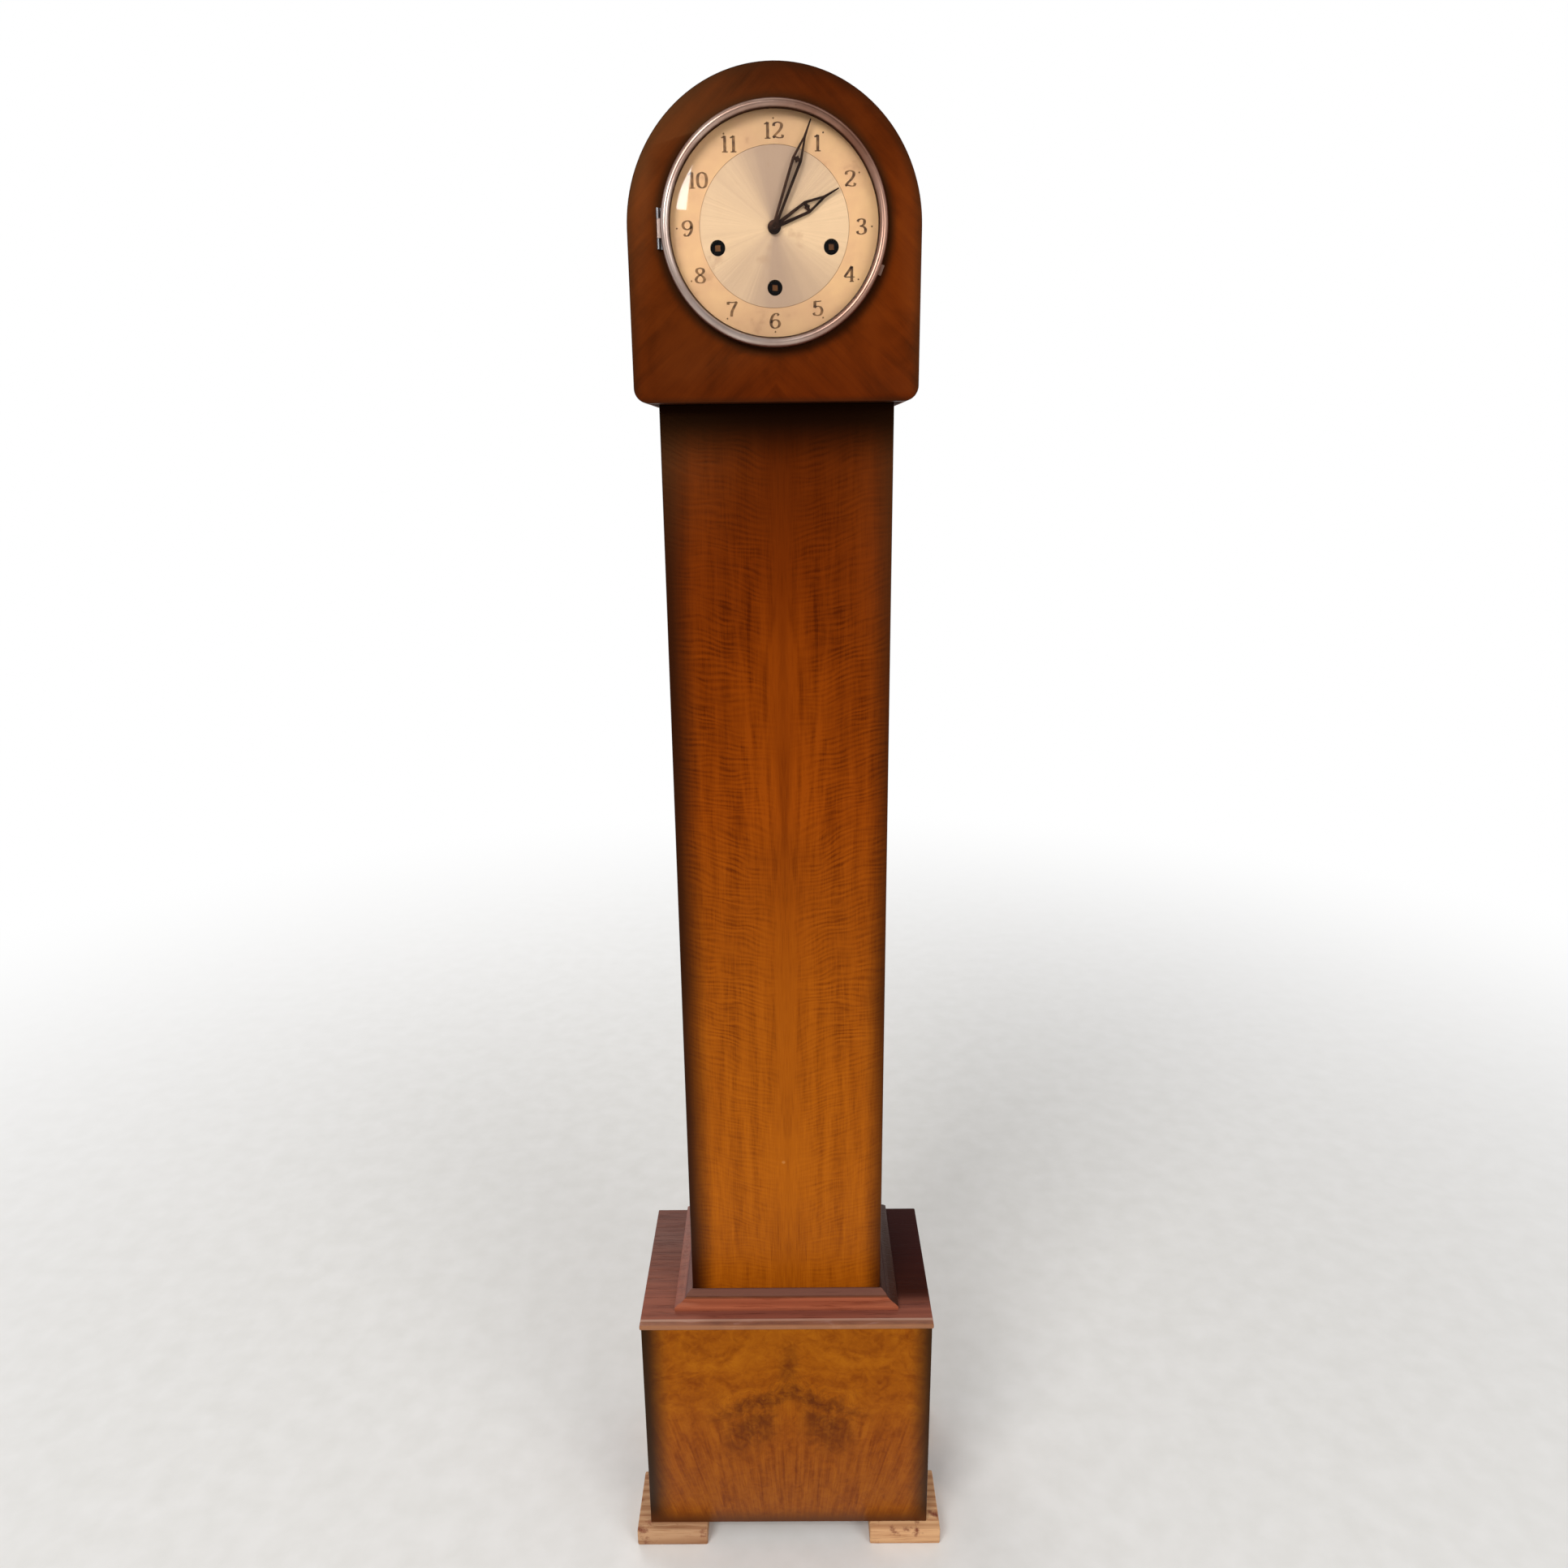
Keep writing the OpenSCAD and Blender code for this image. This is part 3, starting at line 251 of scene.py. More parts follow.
def wood(name, light, dark, along, offset=0.0, rough=0.45, gloss=0.2, ring=34):
    """Wood with growth lines and pores along one axis, polished except on its underside."""
    made, tree, shader = material(name, Specular_Tint=amber)
    facing = add(tree, "SeparateXYZ", {0: add(tree, "NewGeometry", out=1)}, out=2)
    polished = add(tree, "MapRange", {0: facing, 1: -0.8, 2: -0.3, 3: 0.1 * gloss, 4: gloss})
    tree.links.new(polished, shader.inputs["Specular IOR Level"])
    at = add(tree, "TexCoord", out=3)
    grain_stretch, pore_depth = 0.06, 0.00012
    stretch = [grain_stretch if axis == along else 1.0 for axis in "XYZ"]
    at = add(tree, "Mapping", {"Vector": at, "Location": (offset,) * 3, "Scale": stretch})
    broad = add(tree, "TexNoise", {"Vector": at, "Scale": 16, "Detail": 3, "Distortion": 0.8})
    waves = {"Vector": at, "Scale": ring, "Distortion": 7, "Detail": 3, "Detail Scale": 1.4}
    lines = add(tree, "TexWave", waves, out=1, wave_type="BANDS",
                bands_direction="Y" if along != "Y" else "X")
    fine = add(tree, "TexNoise", {"Vector": at, "Scale": 420, "Detail": 4, "Roughness": 0.6})
    pores = ramp(tree, fine, (0.36, 0.0), (0.47, 1.0))
    tone = sum_of(tree, "MULTIPLY_ADD", lines, 0.35, product(tree, broad, 0.65))
    shade = mix(tree, ramp(tree, tone, (0.25, 0.0), (0.72, 1.0)), dark, light)
    shade = mix(tree, sum_of(tree, "MULTIPLY_ADD", pores, -0.35, 0.35), shade, dark, "MULTIPLY")
    tree.links.new(shade, shader.inputs["Base Color"])
    uneven = sum_of(tree, "MULTIPLY_ADD", broad, 0.25, rough - 0.12)
    tree.links.new(uneven, shader.inputs["Roughness"])
    bump(tree, shader, pores, pore_depth)
    return made


def between(tree, value, start, end):
    """0 below start and 1 above end, with an easy slope between (or the other way round)."""
    rises = end > start
    return add(tree, "MapRange", {0: value, 1: min(start, end), 2: max(start, end),
                                  3: 0.0 if rises else 1.0, 4: 1.0 if rises else 0.0},
               interpolation_type="SMOOTHSTEP")


def reopened(made):
    """A finished material's tree and shader, its place as x, y and z, and its colour so far."""
    tree = made.node_tree
    shader = tree.nodes["Principled BSDF"]
    at = add(tree, "TexCoord", out=3)
    parts = tree.nodes.new("ShaderNodeSeparateXYZ")
    tree.links.new(at, parts.inputs[0])
    return tree, shader, at, parts.outputs, shader.inputs["Base Color"].links[0].from_socket


foot_wood = wood("foot_wood", colour(214, 168, 124), colour(176, 124, 86), "X",
                 offset=0.3, rough=0.6, gloss=0.2)
tree, shader, at, (x, y, z), shade = reopened(foot_wood)
drips = add(tree, "TexNoise", {"Vector": at, "Scale": 55, "Detail": 5, "Roughness": 0.62})
# Painted shade: the feet are darkened a little towards the left.
dull_from, dull_to = 0.05, -0.1
darker = between(tree, x, dull_from, dull_to)
shade = mix(tree, darker, shade, colour(226, 226, 232), "MULTIPLY")
shade = mix(tree, ramp(tree, drips, (0.56, 0.0), (0.68, 1.0)), shade, colour(120, 66, 50))
tree.links.new(shade, shader.inputs["Base Color"])
feet = eased("feet", "case", radius=0.0016, steps=2)
finish_with(feet, foot_wood)


# THE PLINTH'S INSIDE
# Bottom board and bearers of plain softwood, rubbed with thin stain and left rough.
inner_wood = wood("inner_wood", colour(176, 128, 80), colour(132, 88, 50), "X",
                  offset=1.3, rough=0.75, gloss=0.12)
boards = eased("plinth_boards", "case", radius=0.0008, steps=1)
finish_with(boards, inner_wood)


# THE PLINTH'S FRONT
# A board faced with burr walnut, two leaves laid as mirror images about the middle, so that
# an arch of dark feathered figure spans them. The polish is shaded dark at the edges.
def leaves(tree, joint):
    """Coordinates of two mirrored leaves: distance from the joint, and height."""
    at = add(tree, "TexCoord", out=3)
    parts = tree.nodes.new("ShaderNodeSeparateXYZ")
    tree.links.new(at, parts.inputs[0])
    across = sum_of(tree, "ABSOLUTE", sum_of(tree, "SUBTRACT", parts.outputs[0], joint))
    return at, across, parts.outputs[2]


def streaks(tree, across, up, fine_across, fine_up, detail=3.0, warp=0.0, seed=0.0):
    """Noise as fine across and up as asked, so that it can be drawn out along either."""
    at = add(tree, "CombineXYZ", {
        0: product(tree, across, fine_across), 1: seed, 2: product(tree, up, fine_up)})
    return add(tree, "TexNoise", {"Vector": at, "Scale": 1.0, "Detail": detail,
                                  "Roughness": 0.55, "Distortion": warp})


def specks(tree, at, scale, rare):
    """Small pale grains caught in the polish, few and far between."""
    cells = tree.nodes.new("ShaderNodeTexVoronoi")
    tree.links.new(at, cells.inputs["Vector"])
    cells.inputs["Scale"].default_value = scale
    near = ramp(tree, cells.outputs["Distance"], (0.05, 1.0), (0.09, 0.0))
    chosen = ramp(tree, cells.outputs["Color"], (rare, 0.0), (rare + 0.01, 1.0))
    return product(tree, near, chosen)


burr, tree, shader = material("burr_walnut", Specular_IOR_Level=0.2, Specular_Tint=amber)
burr_joint, arch_foot, arch_rise, arch_fall, crest_round = 0.002, 0.158, 0.044, -18, 0.00006
spread_below, stray, edge_from, edge_to, foot_from, foot_to = 0.3, 0.03, 0.122, 0.15, 0.042, 0.018
at, across, up = leaves(tree, burr_joint)
wander = add(tree, "TexNoise", {"Vector": at, "Scale": 24, "Detail": 4, "Roughness": 0.6})
wander = sum_of(tree, "MULTIPLY_ADD", wander, stray, -stray / 2)
rounded = sum_of(tree, "SQRT", sum_of(tree, "MULTIPLY_ADD", across, across, crest_round))
fall = sum_of(tree, "POWER", math.e, product(tree, rounded, arch_fall))
arch = sum_of(tree, "MULTIPLY_ADD", fall, arch_rise, arch_foot)
above = sum_of(tree, "ADD", sum_of(tree, "SUBTRACT", up, arch), wander)
clouds = streaks(tree, across, above, 24, 46, 5, 1.0)
spread = sum_of(tree, "DIVIDE", across, sum_of(tree, "ADD", up, spread_below))
plumes = streaks(tree, spread, above, 46, 13, 5, 0.7, 3)
curls = add(tree, "TexNoise", {"Vector": at, "Scale": 110, "Detail": 5, "Roughness": 0.6,
                               "Distortion": 1.0})
low = between(tree, above, 0.02, -0.03)
figure = mix(tree, low, clouds, plumes)
figure = sum_of(tree, "MULTIPLY_ADD", curls, 0.4, product(tree, figure, 0.6))
strands = streaks(tree, spread, above, 190, 20, 4, 0.5, 8)
strands = product(tree, sum_of(tree, "SUBTRACT", strands, 0.5), low)
figure = sum_of(tree, "MULTIPLY_ADD", strands, 0.36, figure)

# The feathers of the arch: a dark band along it, two clouds of small knots below the band,
# rings at its ends, and a plume that stands on its top.
dashes = ramp(tree, streaks(tree, across, above, 110, 90, 3, 0.6, 6), (0.38, 0.0), (0.54, 1.0))
band = product(tree, between(tree, above, -0.02, -0.002), between(tree, above, 0.012, 0.0),
               between(tree, across, 0.1, 0.04), sum_of(tree, "MULTIPLY_ADD", dashes, 0.6, 0.4))
knots = product(tree, between(tree, above, -0.08, -0.035), between(tree, above, -0.006, -0.022),
                between(tree, across, 0.085, 0.045), between(tree, across, 0.004, 0.026))
rings = product(tree, sum_of(tree, "SINE", product(tree, clouds, 95)),
                between(tree, across, 0.1, 0.06), between(tree, above, -0.03, 0.0),
                between(tree, above, 0.04, 0.01))
plume = product(tree, between(tree, across, 0.016, 0.002), between(tree, above, 0.0, 0.02),
                between(tree, above, 0.07, 0.03))
dark = sum_of(tree, "MAXIMUM", band, product(tree, knots, 0.9))
dark = sum_of(tree, "MAXIMUM", dark, product(tree, plume, 0.7))
dark = product(tree, dark, ramp(tree, curls, (0.4, 1.0), (0.68, 0.4)))
tone = ramp(tree, up, (0.03, colour(156, 86, 18)), (0.13, colour(154, 82, 14)),
            (0.2, colour(162, 91, 10)), (0.26, colour(156, 88, 12)))
shade = mix(tree, 1.0, tone, ramp(tree, figure, (0.34, colour(190, 162, 146)),
                                  (0.5, colour(230, 218, 206)), (0.64, (1, 1, 1, 1))), "MULTIPLY")
side_shade = between(tree, across, edge_from, edge_to)
foot_shade = between(tree, up, foot_from, foot_to)
for amount, tint in (
    (product(tree, rings, 0.3), (92, 42, 6)), (product(tree, dark, 0.85), (80, 33, 6)),
    (side_shade, (38, 22, 11)), (foot_shade, (84, 44, 18)),
    (specks(tree, at, 34, 0.9), (214, 150, 96)),
):
    shade = mix(tree, amount, shade, colour(*tint))
tree.links.new(shade, shader.inputs["Base Color"])
tree.links.new(sum_of(tree, "MULTIPLY_ADD", curls, 0.16, 0.24), shader.inputs["Roughness"])
curl_depth = 0.00006
bump(tree, shader, curls, curl_depth)
plinth_front = eased("plinth_front", "case", radius=0.0008, steps=2)
finish_with(plinth_front, burr)


# THE PLINTH'S SIDES
# Straight-grained walnut veneer on plain boards, stained as dark as the hood.
side_walnut = wood("side_walnut", colour(120, 58, 20), colour(74, 32, 10), "Z",
                   offset=0.7, rough=0.42, gloss=0.2, ring=22)
for name in ("plinth_sides", "trunk_sides", "hood_shell"):
    piece = eased(name, "case", radius=0.0006, steps=2)
    finish_with(piece, side_walnut)


# THE PLINTH'S TOP
# A thin solid board that stands proud of the plinth all round, with its edge rounded over,
# and stained a dark red brown that takes a grey sheen in the light.
top_wood = wood("top_wood", colour(134, 76, 60), colour(116, 64, 52), "X",
                offset=2.1, rough=0.42, gloss=0.16, ring=26)
tree, shader, at, (x, y, z), shade = reopened(top_wood)
front_from, front_to, edge_from, edge_to = -0.0800, -0.0825, -0.0878, -0.0895
line_from, line_full, line_end = -0.0795, -0.0810, -0.0845
front = between(tree, y, front_from, front_to)
# Painted shadow on the right towards the back, and painted shade over the back of the board.
right_shadow = product(tree, between(tree, x, 0.07, 0.12), between(tree, y, -0.07, -0.04))
back_shade = between(tree, y, -0.06, 0.04)
tree.links.new(sum_of(tree, "MULTIPLY_ADD", right_shadow, -0.14, 0.16), shader.inputs["Specular IOR Level"])
scuffs = streaks(tree, x, y, 34, 130, 6, 0.4, 4)
scuffed = product(tree, ramp(tree, scuffs, (0.48, 0.0), (0.68, 0.45)), front)
pale = product(tree, ramp(tree, scuffs, (0.3, 0.4), (0.42, 0.0)), front)
worn = between(tree, y, edge_from, edge_to)
pale_line = product(tree, between(tree, y, line_from, line_full),
                    between(tree, y, line_end, front_to))
for amount, tint in (
    (product(tree, right_shadow, 0.9), (34, 8, 4)), (product(tree, back_shade, 0.5), (52, 22, 24)),
    (product(tree, front, 0.8), (138, 95, 74)), (scuffed, (92, 62, 56)), (pale, (170, 134, 124)),
    (product(tree, worn, 0.4), (168, 118, 80)), (product(tree, pale_line, 0.55), (190, 152, 132)),
):
    shade = mix(tree, amount, shade, colour(*tint))
tree.links.new(shade, shader.inputs["Base Color"])
plinth_top = eased("plinth_top", "case", radius=0.0012, steps=3)
finish_with(plinth_top, top_wood)


# THE MOULDING ROUND THE TRUNK'S FOOT
# Lengths of solid moulding, mitred at the two front corners and glued to trunk and plinth:
# a small step, then a plain bevel down to the board.
moulding_wood = wood("moulding_wood", colour(170, 94, 66), colour(148, 80, 56), "X",
                     offset=3.7, rough=0.4, gloss=0.2, ring=16)
tree, shader, at, (x, y, z), shade = reopened(moulding_wood)
mitre_from, mitre_to, upper_from, upper_to = 0.0475, 0.0485, 0.2865, 0.2885
step_low, step_high, soft = 0.2860, 0.2886, 0.0008
# Painted light: sheen on the upper step, shade along the step, a lit left run, a shaded right run.
upper_sheen = between(tree, z, upper_from, upper_to)
step_shade = product(tree, between(tree, z, step_low, step_low + soft),
                    between(tree, z, step_high, step_high - soft))
lit_left_run = between(tree, sum_of(tree, "SUBTRACT", y, x), mitre_from, mitre_to)
shaded_right_run = between(tree, sum_of(tree, "ADD", y, x), mitre_from, mitre_to)
for amount, tint in (
    (product(tree, upper_sheen, 0.85), (92, 66, 60)), (product(tree, step_shade, 0.6), (40, 18, 14)),
    (product(tree, lit_left_run, 0.6), (112, 80, 78)), (shaded_right_run, (44, 14, 10)),
):
    shade = mix(tree, amount, shade, colour(*tint))
tree.links.new(shade, shader.inputs["Base Color"])
moulding = eased("trunk_moulding", "case", radius=0.0004, steps=2)
finish_with(moulding, moulding_wood)


# THE TRUNK'S FRONT
# One long board faced with two mirrored leaves of walnut that meet down the middle. Fine
# ripples cross both leaves, flames rise along the joint, and the edges are shaded dark.
fiddleback, tree, shader = material("fiddleback_walnut", Specular_Tint=amber)
trunk_joint, slope, ripple_turns, ripple_depth = 0.003, -0.25, 1300, 0.0001
at, across, up = leaves(tree, trunk_joint)
bend = add(tree, "TexNoise", {"Vector": at, "Scale": 9, "Detail": 2})
lift = sum_of(tree, "MULTIPLY_ADD", bend, 0.05, up)
lift = sum_of(tree, "MULTIPLY_ADD", across, slope, lift)
stray = streaks(tree, across, lift, 26, 55, 2, 0.0, 2)
phase = sum_of(tree, "MULTIPLY_ADD", stray, 16, product(tree, lift, ripple_turns))
ripple = sum_of(tree, "MULTIPLY_ADD", sum_of(tree, "SINE", phase), 0.15, 0.5)
broken = streaks(tree, across, lift, 30, 330, 3, 0.2)
ripple = mix(tree, 0.55, ripple, broken)
flames = streaks(tree, across, lift, 85, 7, 4, 0.5, 5)
stripes = streaks(tree, across, up, 70, 1.2, 3, 0.3, 9)
fine = streaks(tree, across, up, 900, 40, 3, 0.0, 11)
patch = streaks(tree, across, up, 20, 12, 3, 0.4, 14)
sides = product(tree, between(tree, across, 0.0, 0.03), ramp(tree, patch, (0.35, 0.5), (0.6, 1.0)),
                sum_of(tree, "MULTIPLY_ADD", between(tree, up, 0.4, 0.8), 0.5, 0.5))
figure = product(tree, sum_of(tree, "SUBTRACT", ripple, 0.5), sides)
for grain, strength in ((flames, 0.4), (stripes, 0.24), (fine, 0.35)):
    figure = sum_of(tree, "MULTIPLY_ADD", sum_of(tree, "SUBTRACT", grain, 0.5), strength, figure)

# Half way up, a pale heart runs along the joint and thin flames fan out from it.
heart = product(tree, between(tree, across, 0.045, 0.026), between(tree, across, 0.001, 0.008),
                ramp(tree, flames, (0.4, 0.25), (0.62, 1.0)), between(tree, up, 0.72, 0.86),
                between(tree, up, 1.04, 0.93))
fan_foot = 0.5
fan = sum_of(tree, "MAXIMUM", sum_of(tree, "SUBTRACT", up, fan_foot), 0.1)
fan = streaks(tree, sum_of(tree, "DIVIDE", across, fan), up, 40, 9, 4, 0.5, 17)
near = product(tree, between(tree, across, 0.06, 0.03), between(tree, up, 0.7, 0.84),
               between(tree, up, 1.08, 0.98), between(tree, across, 0.001, 0.01))
fan = product(tree, sum_of(tree, "SUBTRACT", fan, 0.5), near)
figure = sum_of(tree, "MULTIPLY_ADD", fan, 0.9, figure)
figure = sum_of(tree, "MULTIPLY_ADD", heart, 0.15, sum_of(tree, "ADD", figure, 0.5))
# Darker towards the top: partly the polish, partly painted shade under the hood.
trunk_low, trunk_high = 0.28, 1.18
height = add(tree, "MapRange", {0: up, 1: trunk_low, 2: trunk_high})
tone = ramp(tree, height, (0.0, colour(172, 92, 12)), (0.15, colour(182, 99, 12)),
            (0.35, colour(167, 87, 10)), (0.6, colour(139, 61, 4)), (0.85, colour(110, 42, 2)),
            (0.97, colour(82, 28, 1)))
shade = mix(tree, 1.0, tone, ramp(tree, figure, (0.3, colour(168, 146, 130)),
                                  (0.5, colour(226, 218, 206)), (0.7, (1, 1, 1, 1))), "MULTIPLY")
edge_from, edge_to, shadow_from, shadow_to = 0.076, 0.106, 1.125, 1.168
outer = sum_of(tree, "MULTIPLY_ADD", bend, 0.008, across)
shade = mix(tree, between(tree, outer, edge_from, edge_to), shade, colour(40, 14, 5))
# Painted shadow of the hood across the top of the board, where the polish also shines less.
hood_shadow = between(tree, up, shadow_from, shadow_to)
shade = mix(tree, hood_shadow, shade, colour(22, 8, 3))
polish = sum_of(tree, "MULTIPLY_ADD", hood_shadow, -0.18, 0.2)
tree.links.new(polish, shader.inputs["Specular IOR Level"])
shade = mix(tree, specks(tree, at, 40, 0.94), shade, colour(206, 150, 84))
tree.links.new(shade, shader.inputs["Base Color"])
tree.links.new(sum_of(tree, "MULTIPLY_ADD", flames, 0.14, 0.24), shader.inputs["Roughness"])
bump(tree, shader, ripple, ripple_depth)
trunk_front = eased("trunk_front", "case", radius=0.0012, steps=3)
finish_with(trunk_front, fiddleback)


# THE HOOD'S FRONT
# An arched board faced with dark walnut, with a round opening for the dial. Its grain runs
# out to the corners, and it is shaded darker round the opening and along its outline.
hood_walnut, tree, shader = material("hood_walnut", Specular_Tint=amber)
hood_middle, opening_at, diagonal = 0.0, 1.311, 0.7071
at, across, up = leaves(tree, hood_middle)
rise = sum_of(tree, "SUBTRACT", up, opening_at)
outward = product(tree, sum_of(tree, "ADD", across, rise), diagonal)
along = product(tree, sum_of(tree, "SUBTRACT", across, rise), diagonal)
reach = sum_of(tree, "SQRT", sum_of(tree, "ADD", sum_of(tree, "POWER", across, 2.0),
                                    sum_of(tree, "POWER", rise, 2.0)))
rays = streaks(tree, outward, along, 95, 9, 4, 0.6)
cloud = add(tree, "TexNoise", {"Vector": at, "Scale": 24, "Detail": 4, "Distortion": 0.7})
fine = streaks(tree, outward, along, 600, 40, 3, 0.0, 7)
figure = sum_of(tree, "MULTIPLY_ADD", cloud, 0.5, product(tree, rays, 0.35))
figure = sum_of(tree, "MULTIPLY_ADD", fine, 0.15, figure)
hood_low, hood_high = 1.18, 1.43
height = add(tree, "MapRange", {0: up, 1: hood_low, 2: hood_high})
tone = ramp(tree, height, (0.0, colour(92, 31, 1)), (0.25, colour(104, 41, 3)),
            (0.6, colour(106, 42, 3)), (0.95, colour(76, 26, 2)))
# Painted shade: the board is darkened towards its left.
left = between(tree, add(tree, "SeparateXYZ", {0: at}), 0.04, -0.09)
tone = mix(tree, product(tree, left, 0.3), tone, colour(60, 28, 6))
shade = mix(tree, 1.0, tone, ramp(tree, figure, (0.3, colour(140, 112, 100)),
                                  (0.5, colour(222, 208, 196)), (0.68, (1, 1, 1, 1))), "MULTIPLY")
opening_from, opening_to, crown_from, crown_to = 0.099, 0.090, 0.108, 0.118
edge_from, edge_to, foot_from, foot_to = 0.108, 0.119, 1.186, 1.179
opening = between(tree, reach, opening_from, opening_to)
shade = mix(tree, opening, shade, colour(40, 16, 6))
crown = product(tree, between(tree, reach, crown_from, crown_to), between(tree, rise, -0.02, 0.02))
rim = sum_of(tree, "MAXIMUM", crown, between(tree, across, edge_from, edge_to))
rim = sum_of(tree, "MAXIMUM", rim, between(tree, up, foot_from, foot_to))
shade = mix(tree, product(tree, rim, 0.75), shade, colour(34, 14, 6))
tree.links.new(shade, shader.inputs["Base Color"])
tree.links.new(sum_of(tree, "MULTIPLY_ADD", cloud, 0.16, 0.32), shader.inputs["Roughness"])
dull_from, dull_to = 1.181, 1.176
lowest = between(tree, up, dull_from, dull_to)
polish = sum_of(tree, "MULTIPLY_ADD", lowest, -0.18, 0.2)
tree.links.new(polish, shader.inputs["Specular IOR Level"])
grain_depth = 0.00005
bump(tree, shader, fine, grain_depth)
hood_front = eased("hood_front", "case", radius=0.0012, steps=3)
finish_with(hood_front, hood_walnut)


# THE INSIDE AND THE BACK
# Plain boards that are never seen from the front: thin backs to trunk and hood, the hood's
# floor and rails, and the board that the movement sits on.
plain_wood = wood("plain_wood", colour(150, 100, 58), colour(104, 64, 34), "Z",
                  offset=5.1, rough=0.7, gloss=0.15)
# The hood's floor gets a dark wood as painted shade under the hood.
underside_shade_wood = wood("underside_shade_wood", colour(64, 32, 14), colour(38, 18, 8), "X",
                    offset=6.3, rough=0.6, gloss=0.12)
hood_base = eased("hood_base", "case", radius=0.0005, steps=1)
finish_with(hood_base, underside_shade_wood)
for name in ("trunk_back", "hood_back", "hood_rails", "seat_board"):
    piece = eased(name, "case", radius=0.0005, steps=1)
    finish_with(piece, plain_wood)
door = eased("back_door", "back_door", radius=0.0008, steps=2)
finish_with(door, plain_wood)


# THE MOVEMENT
# A three-train movement between two brass plates: brass wheels and barrels, steel arbors,
# pinions and hammers, and a drum that lifts the four chime hammers. It is lightly tarnished.
def metal(name, bright, darker, rough, scale=26, scratch=0.00002):
    """Bare metal with patches of tarnish, fine drawn lines and a slightly uneven shine."""
    made, tree, shader = material(name, Metallic=1.0)
    at = add(tree, "TexCoord", out=3)
    patch = add(tree, "TexNoise", {"Vector": at, "Scale": scale, "Detail": 5, "Roughness": 0.6})
    drawn = add(tree, "Mapping", {"Vector": at, "Scale": (900, 900, 900)})
    drawn = add(tree, "TexNoise", {"Vector": drawn, "Scale": 1.0, "Detail": 2})
    spots = add(tree, "TexNoise", {"Vector": at, "Scale": scale * 14, "Detail": 2})
    shade = mix(tree, ramp(tree, patch, (0.38, 0.0), (0.66, 1.0)), bright, darker)
    shade = mix(tree, ramp(tree, spots, (0.66, 0.0), (0.74, 0.45)), shade, darker)
    tree.links.new(shade, shader.inputs["Base Color"])
    uneven = sum_of(tree, "MULTIPLY_ADD", patch, 0.22, rough - 0.11)
    tree.links.new(sum_of(tree, "MULTIPLY_ADD", drawn, 0.06, uneven), shader.inputs["Roughness"])
    bump(tree, shader, drawn, scratch)
    return made


brass = metal("brass", colour(212, 176, 104), colour(158, 120, 66), rough=0.34)
steel = metal("steel", colour(176, 176, 180), colour(118, 116, 116), rough=0.36)
iron = metal("cast_iron", colour(86, 84, 82), colour(52, 48, 46), rough=0.62, scale=40,
             scratch=0.0002)
BRASS = """front_plate back_plate time_barrel strike_barrel chime_barrel intermediate_wheel
centre_wheel third_wheel escape_wheel cannon_pinion minute_wheel hour_wheel strike_wheel
chime_wheel chime_drum chime_bracket suspension_cock pendulum_bob rating_nut
door_hardware door_hinge_leaves door_catch""".split()
STEEL = """plate_nuts time_click strike_click chime_click anchor pendulum_rod
hammer_1 hammer_2 hammer_3 hammer_4 gong_rods bezel_hinge""".split()

# The winding squares are dull and brown, with painted shade where they stand back in their holes.
# The brass in front of the dial has gone as dark as the hands.
dull_steel = metal("arbor_steel", colour(112, 74, 44), colour(72, 46, 28), rough=0.5)
hole_from, hole_to, in_front_from, in_front_to = -0.072, -0.069, -0.076, -0.079
tree, shader, at, (x, y, z), shade = reopened(dull_steel)
shade = mix(tree, between(tree, y, hole_from, hole_to), shade, colour(24, 16, 12))
tree.links.new(shade, shader.inputs["Base Color"])
tree, shader, at, (x, y, z), shade = reopened(brass)
shade = mix(tree, between(tree, y, in_front_from, in_front_to), shade, colour(44, 28, 18))
tree.links.new(shade, shader.inputs["Base Color"])
ARBORS = "time_arbor strike_arbor chime_arbor".split()
IRON = ["gong_block"]
for names, made in ((BRASS, brass), (STEEL, steel), (ARBORS, dull_steel), (IRON, iron)):
    for name in names:
        finish_with(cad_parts[name], made)


# THE DIAL
# A round silvered brass plate on four feet. Its centre is brushed in rays round the hands,
# and a thin engraved circle parts it from the warmer ring that carries the numbers.
dial_at = Vector((0.0, -0.074, 1.311))
circle_r, circle_soft, ray_depth = 0.0590, 0.0002, 0.00002


def from_dial(tree):
    """The place, how far it is from the middle of the dial, and which way it lies."""
    at = add(tree, "TexCoord", out=3)
    level = add(tree, "VectorMath", {0: at, 1: -dial_at}, operation="ADD")
    level = add(tree, "VectorMath", {0: level, 1: (1, 0, 1)}, operation="MULTIPLY")
    reach = add(tree, "VectorMath", {0: level}, out=1, operation="LENGTH")
    return at, reach, add(tree, "VectorMath", {0: level}, operation="NORMALIZE")


silvered, tree, shader = material("silvered", Metallic=0.1)
at, reach, heading = from_dial(tree)
rays = add(tree, "TexNoise", {"Vector": heading, "Scale": 34, "Detail": 6, "Roughness": 0.7})
side = sum_of(tree, "ABSOLUTE", add(tree, "SeparateXYZ", {0: heading}))
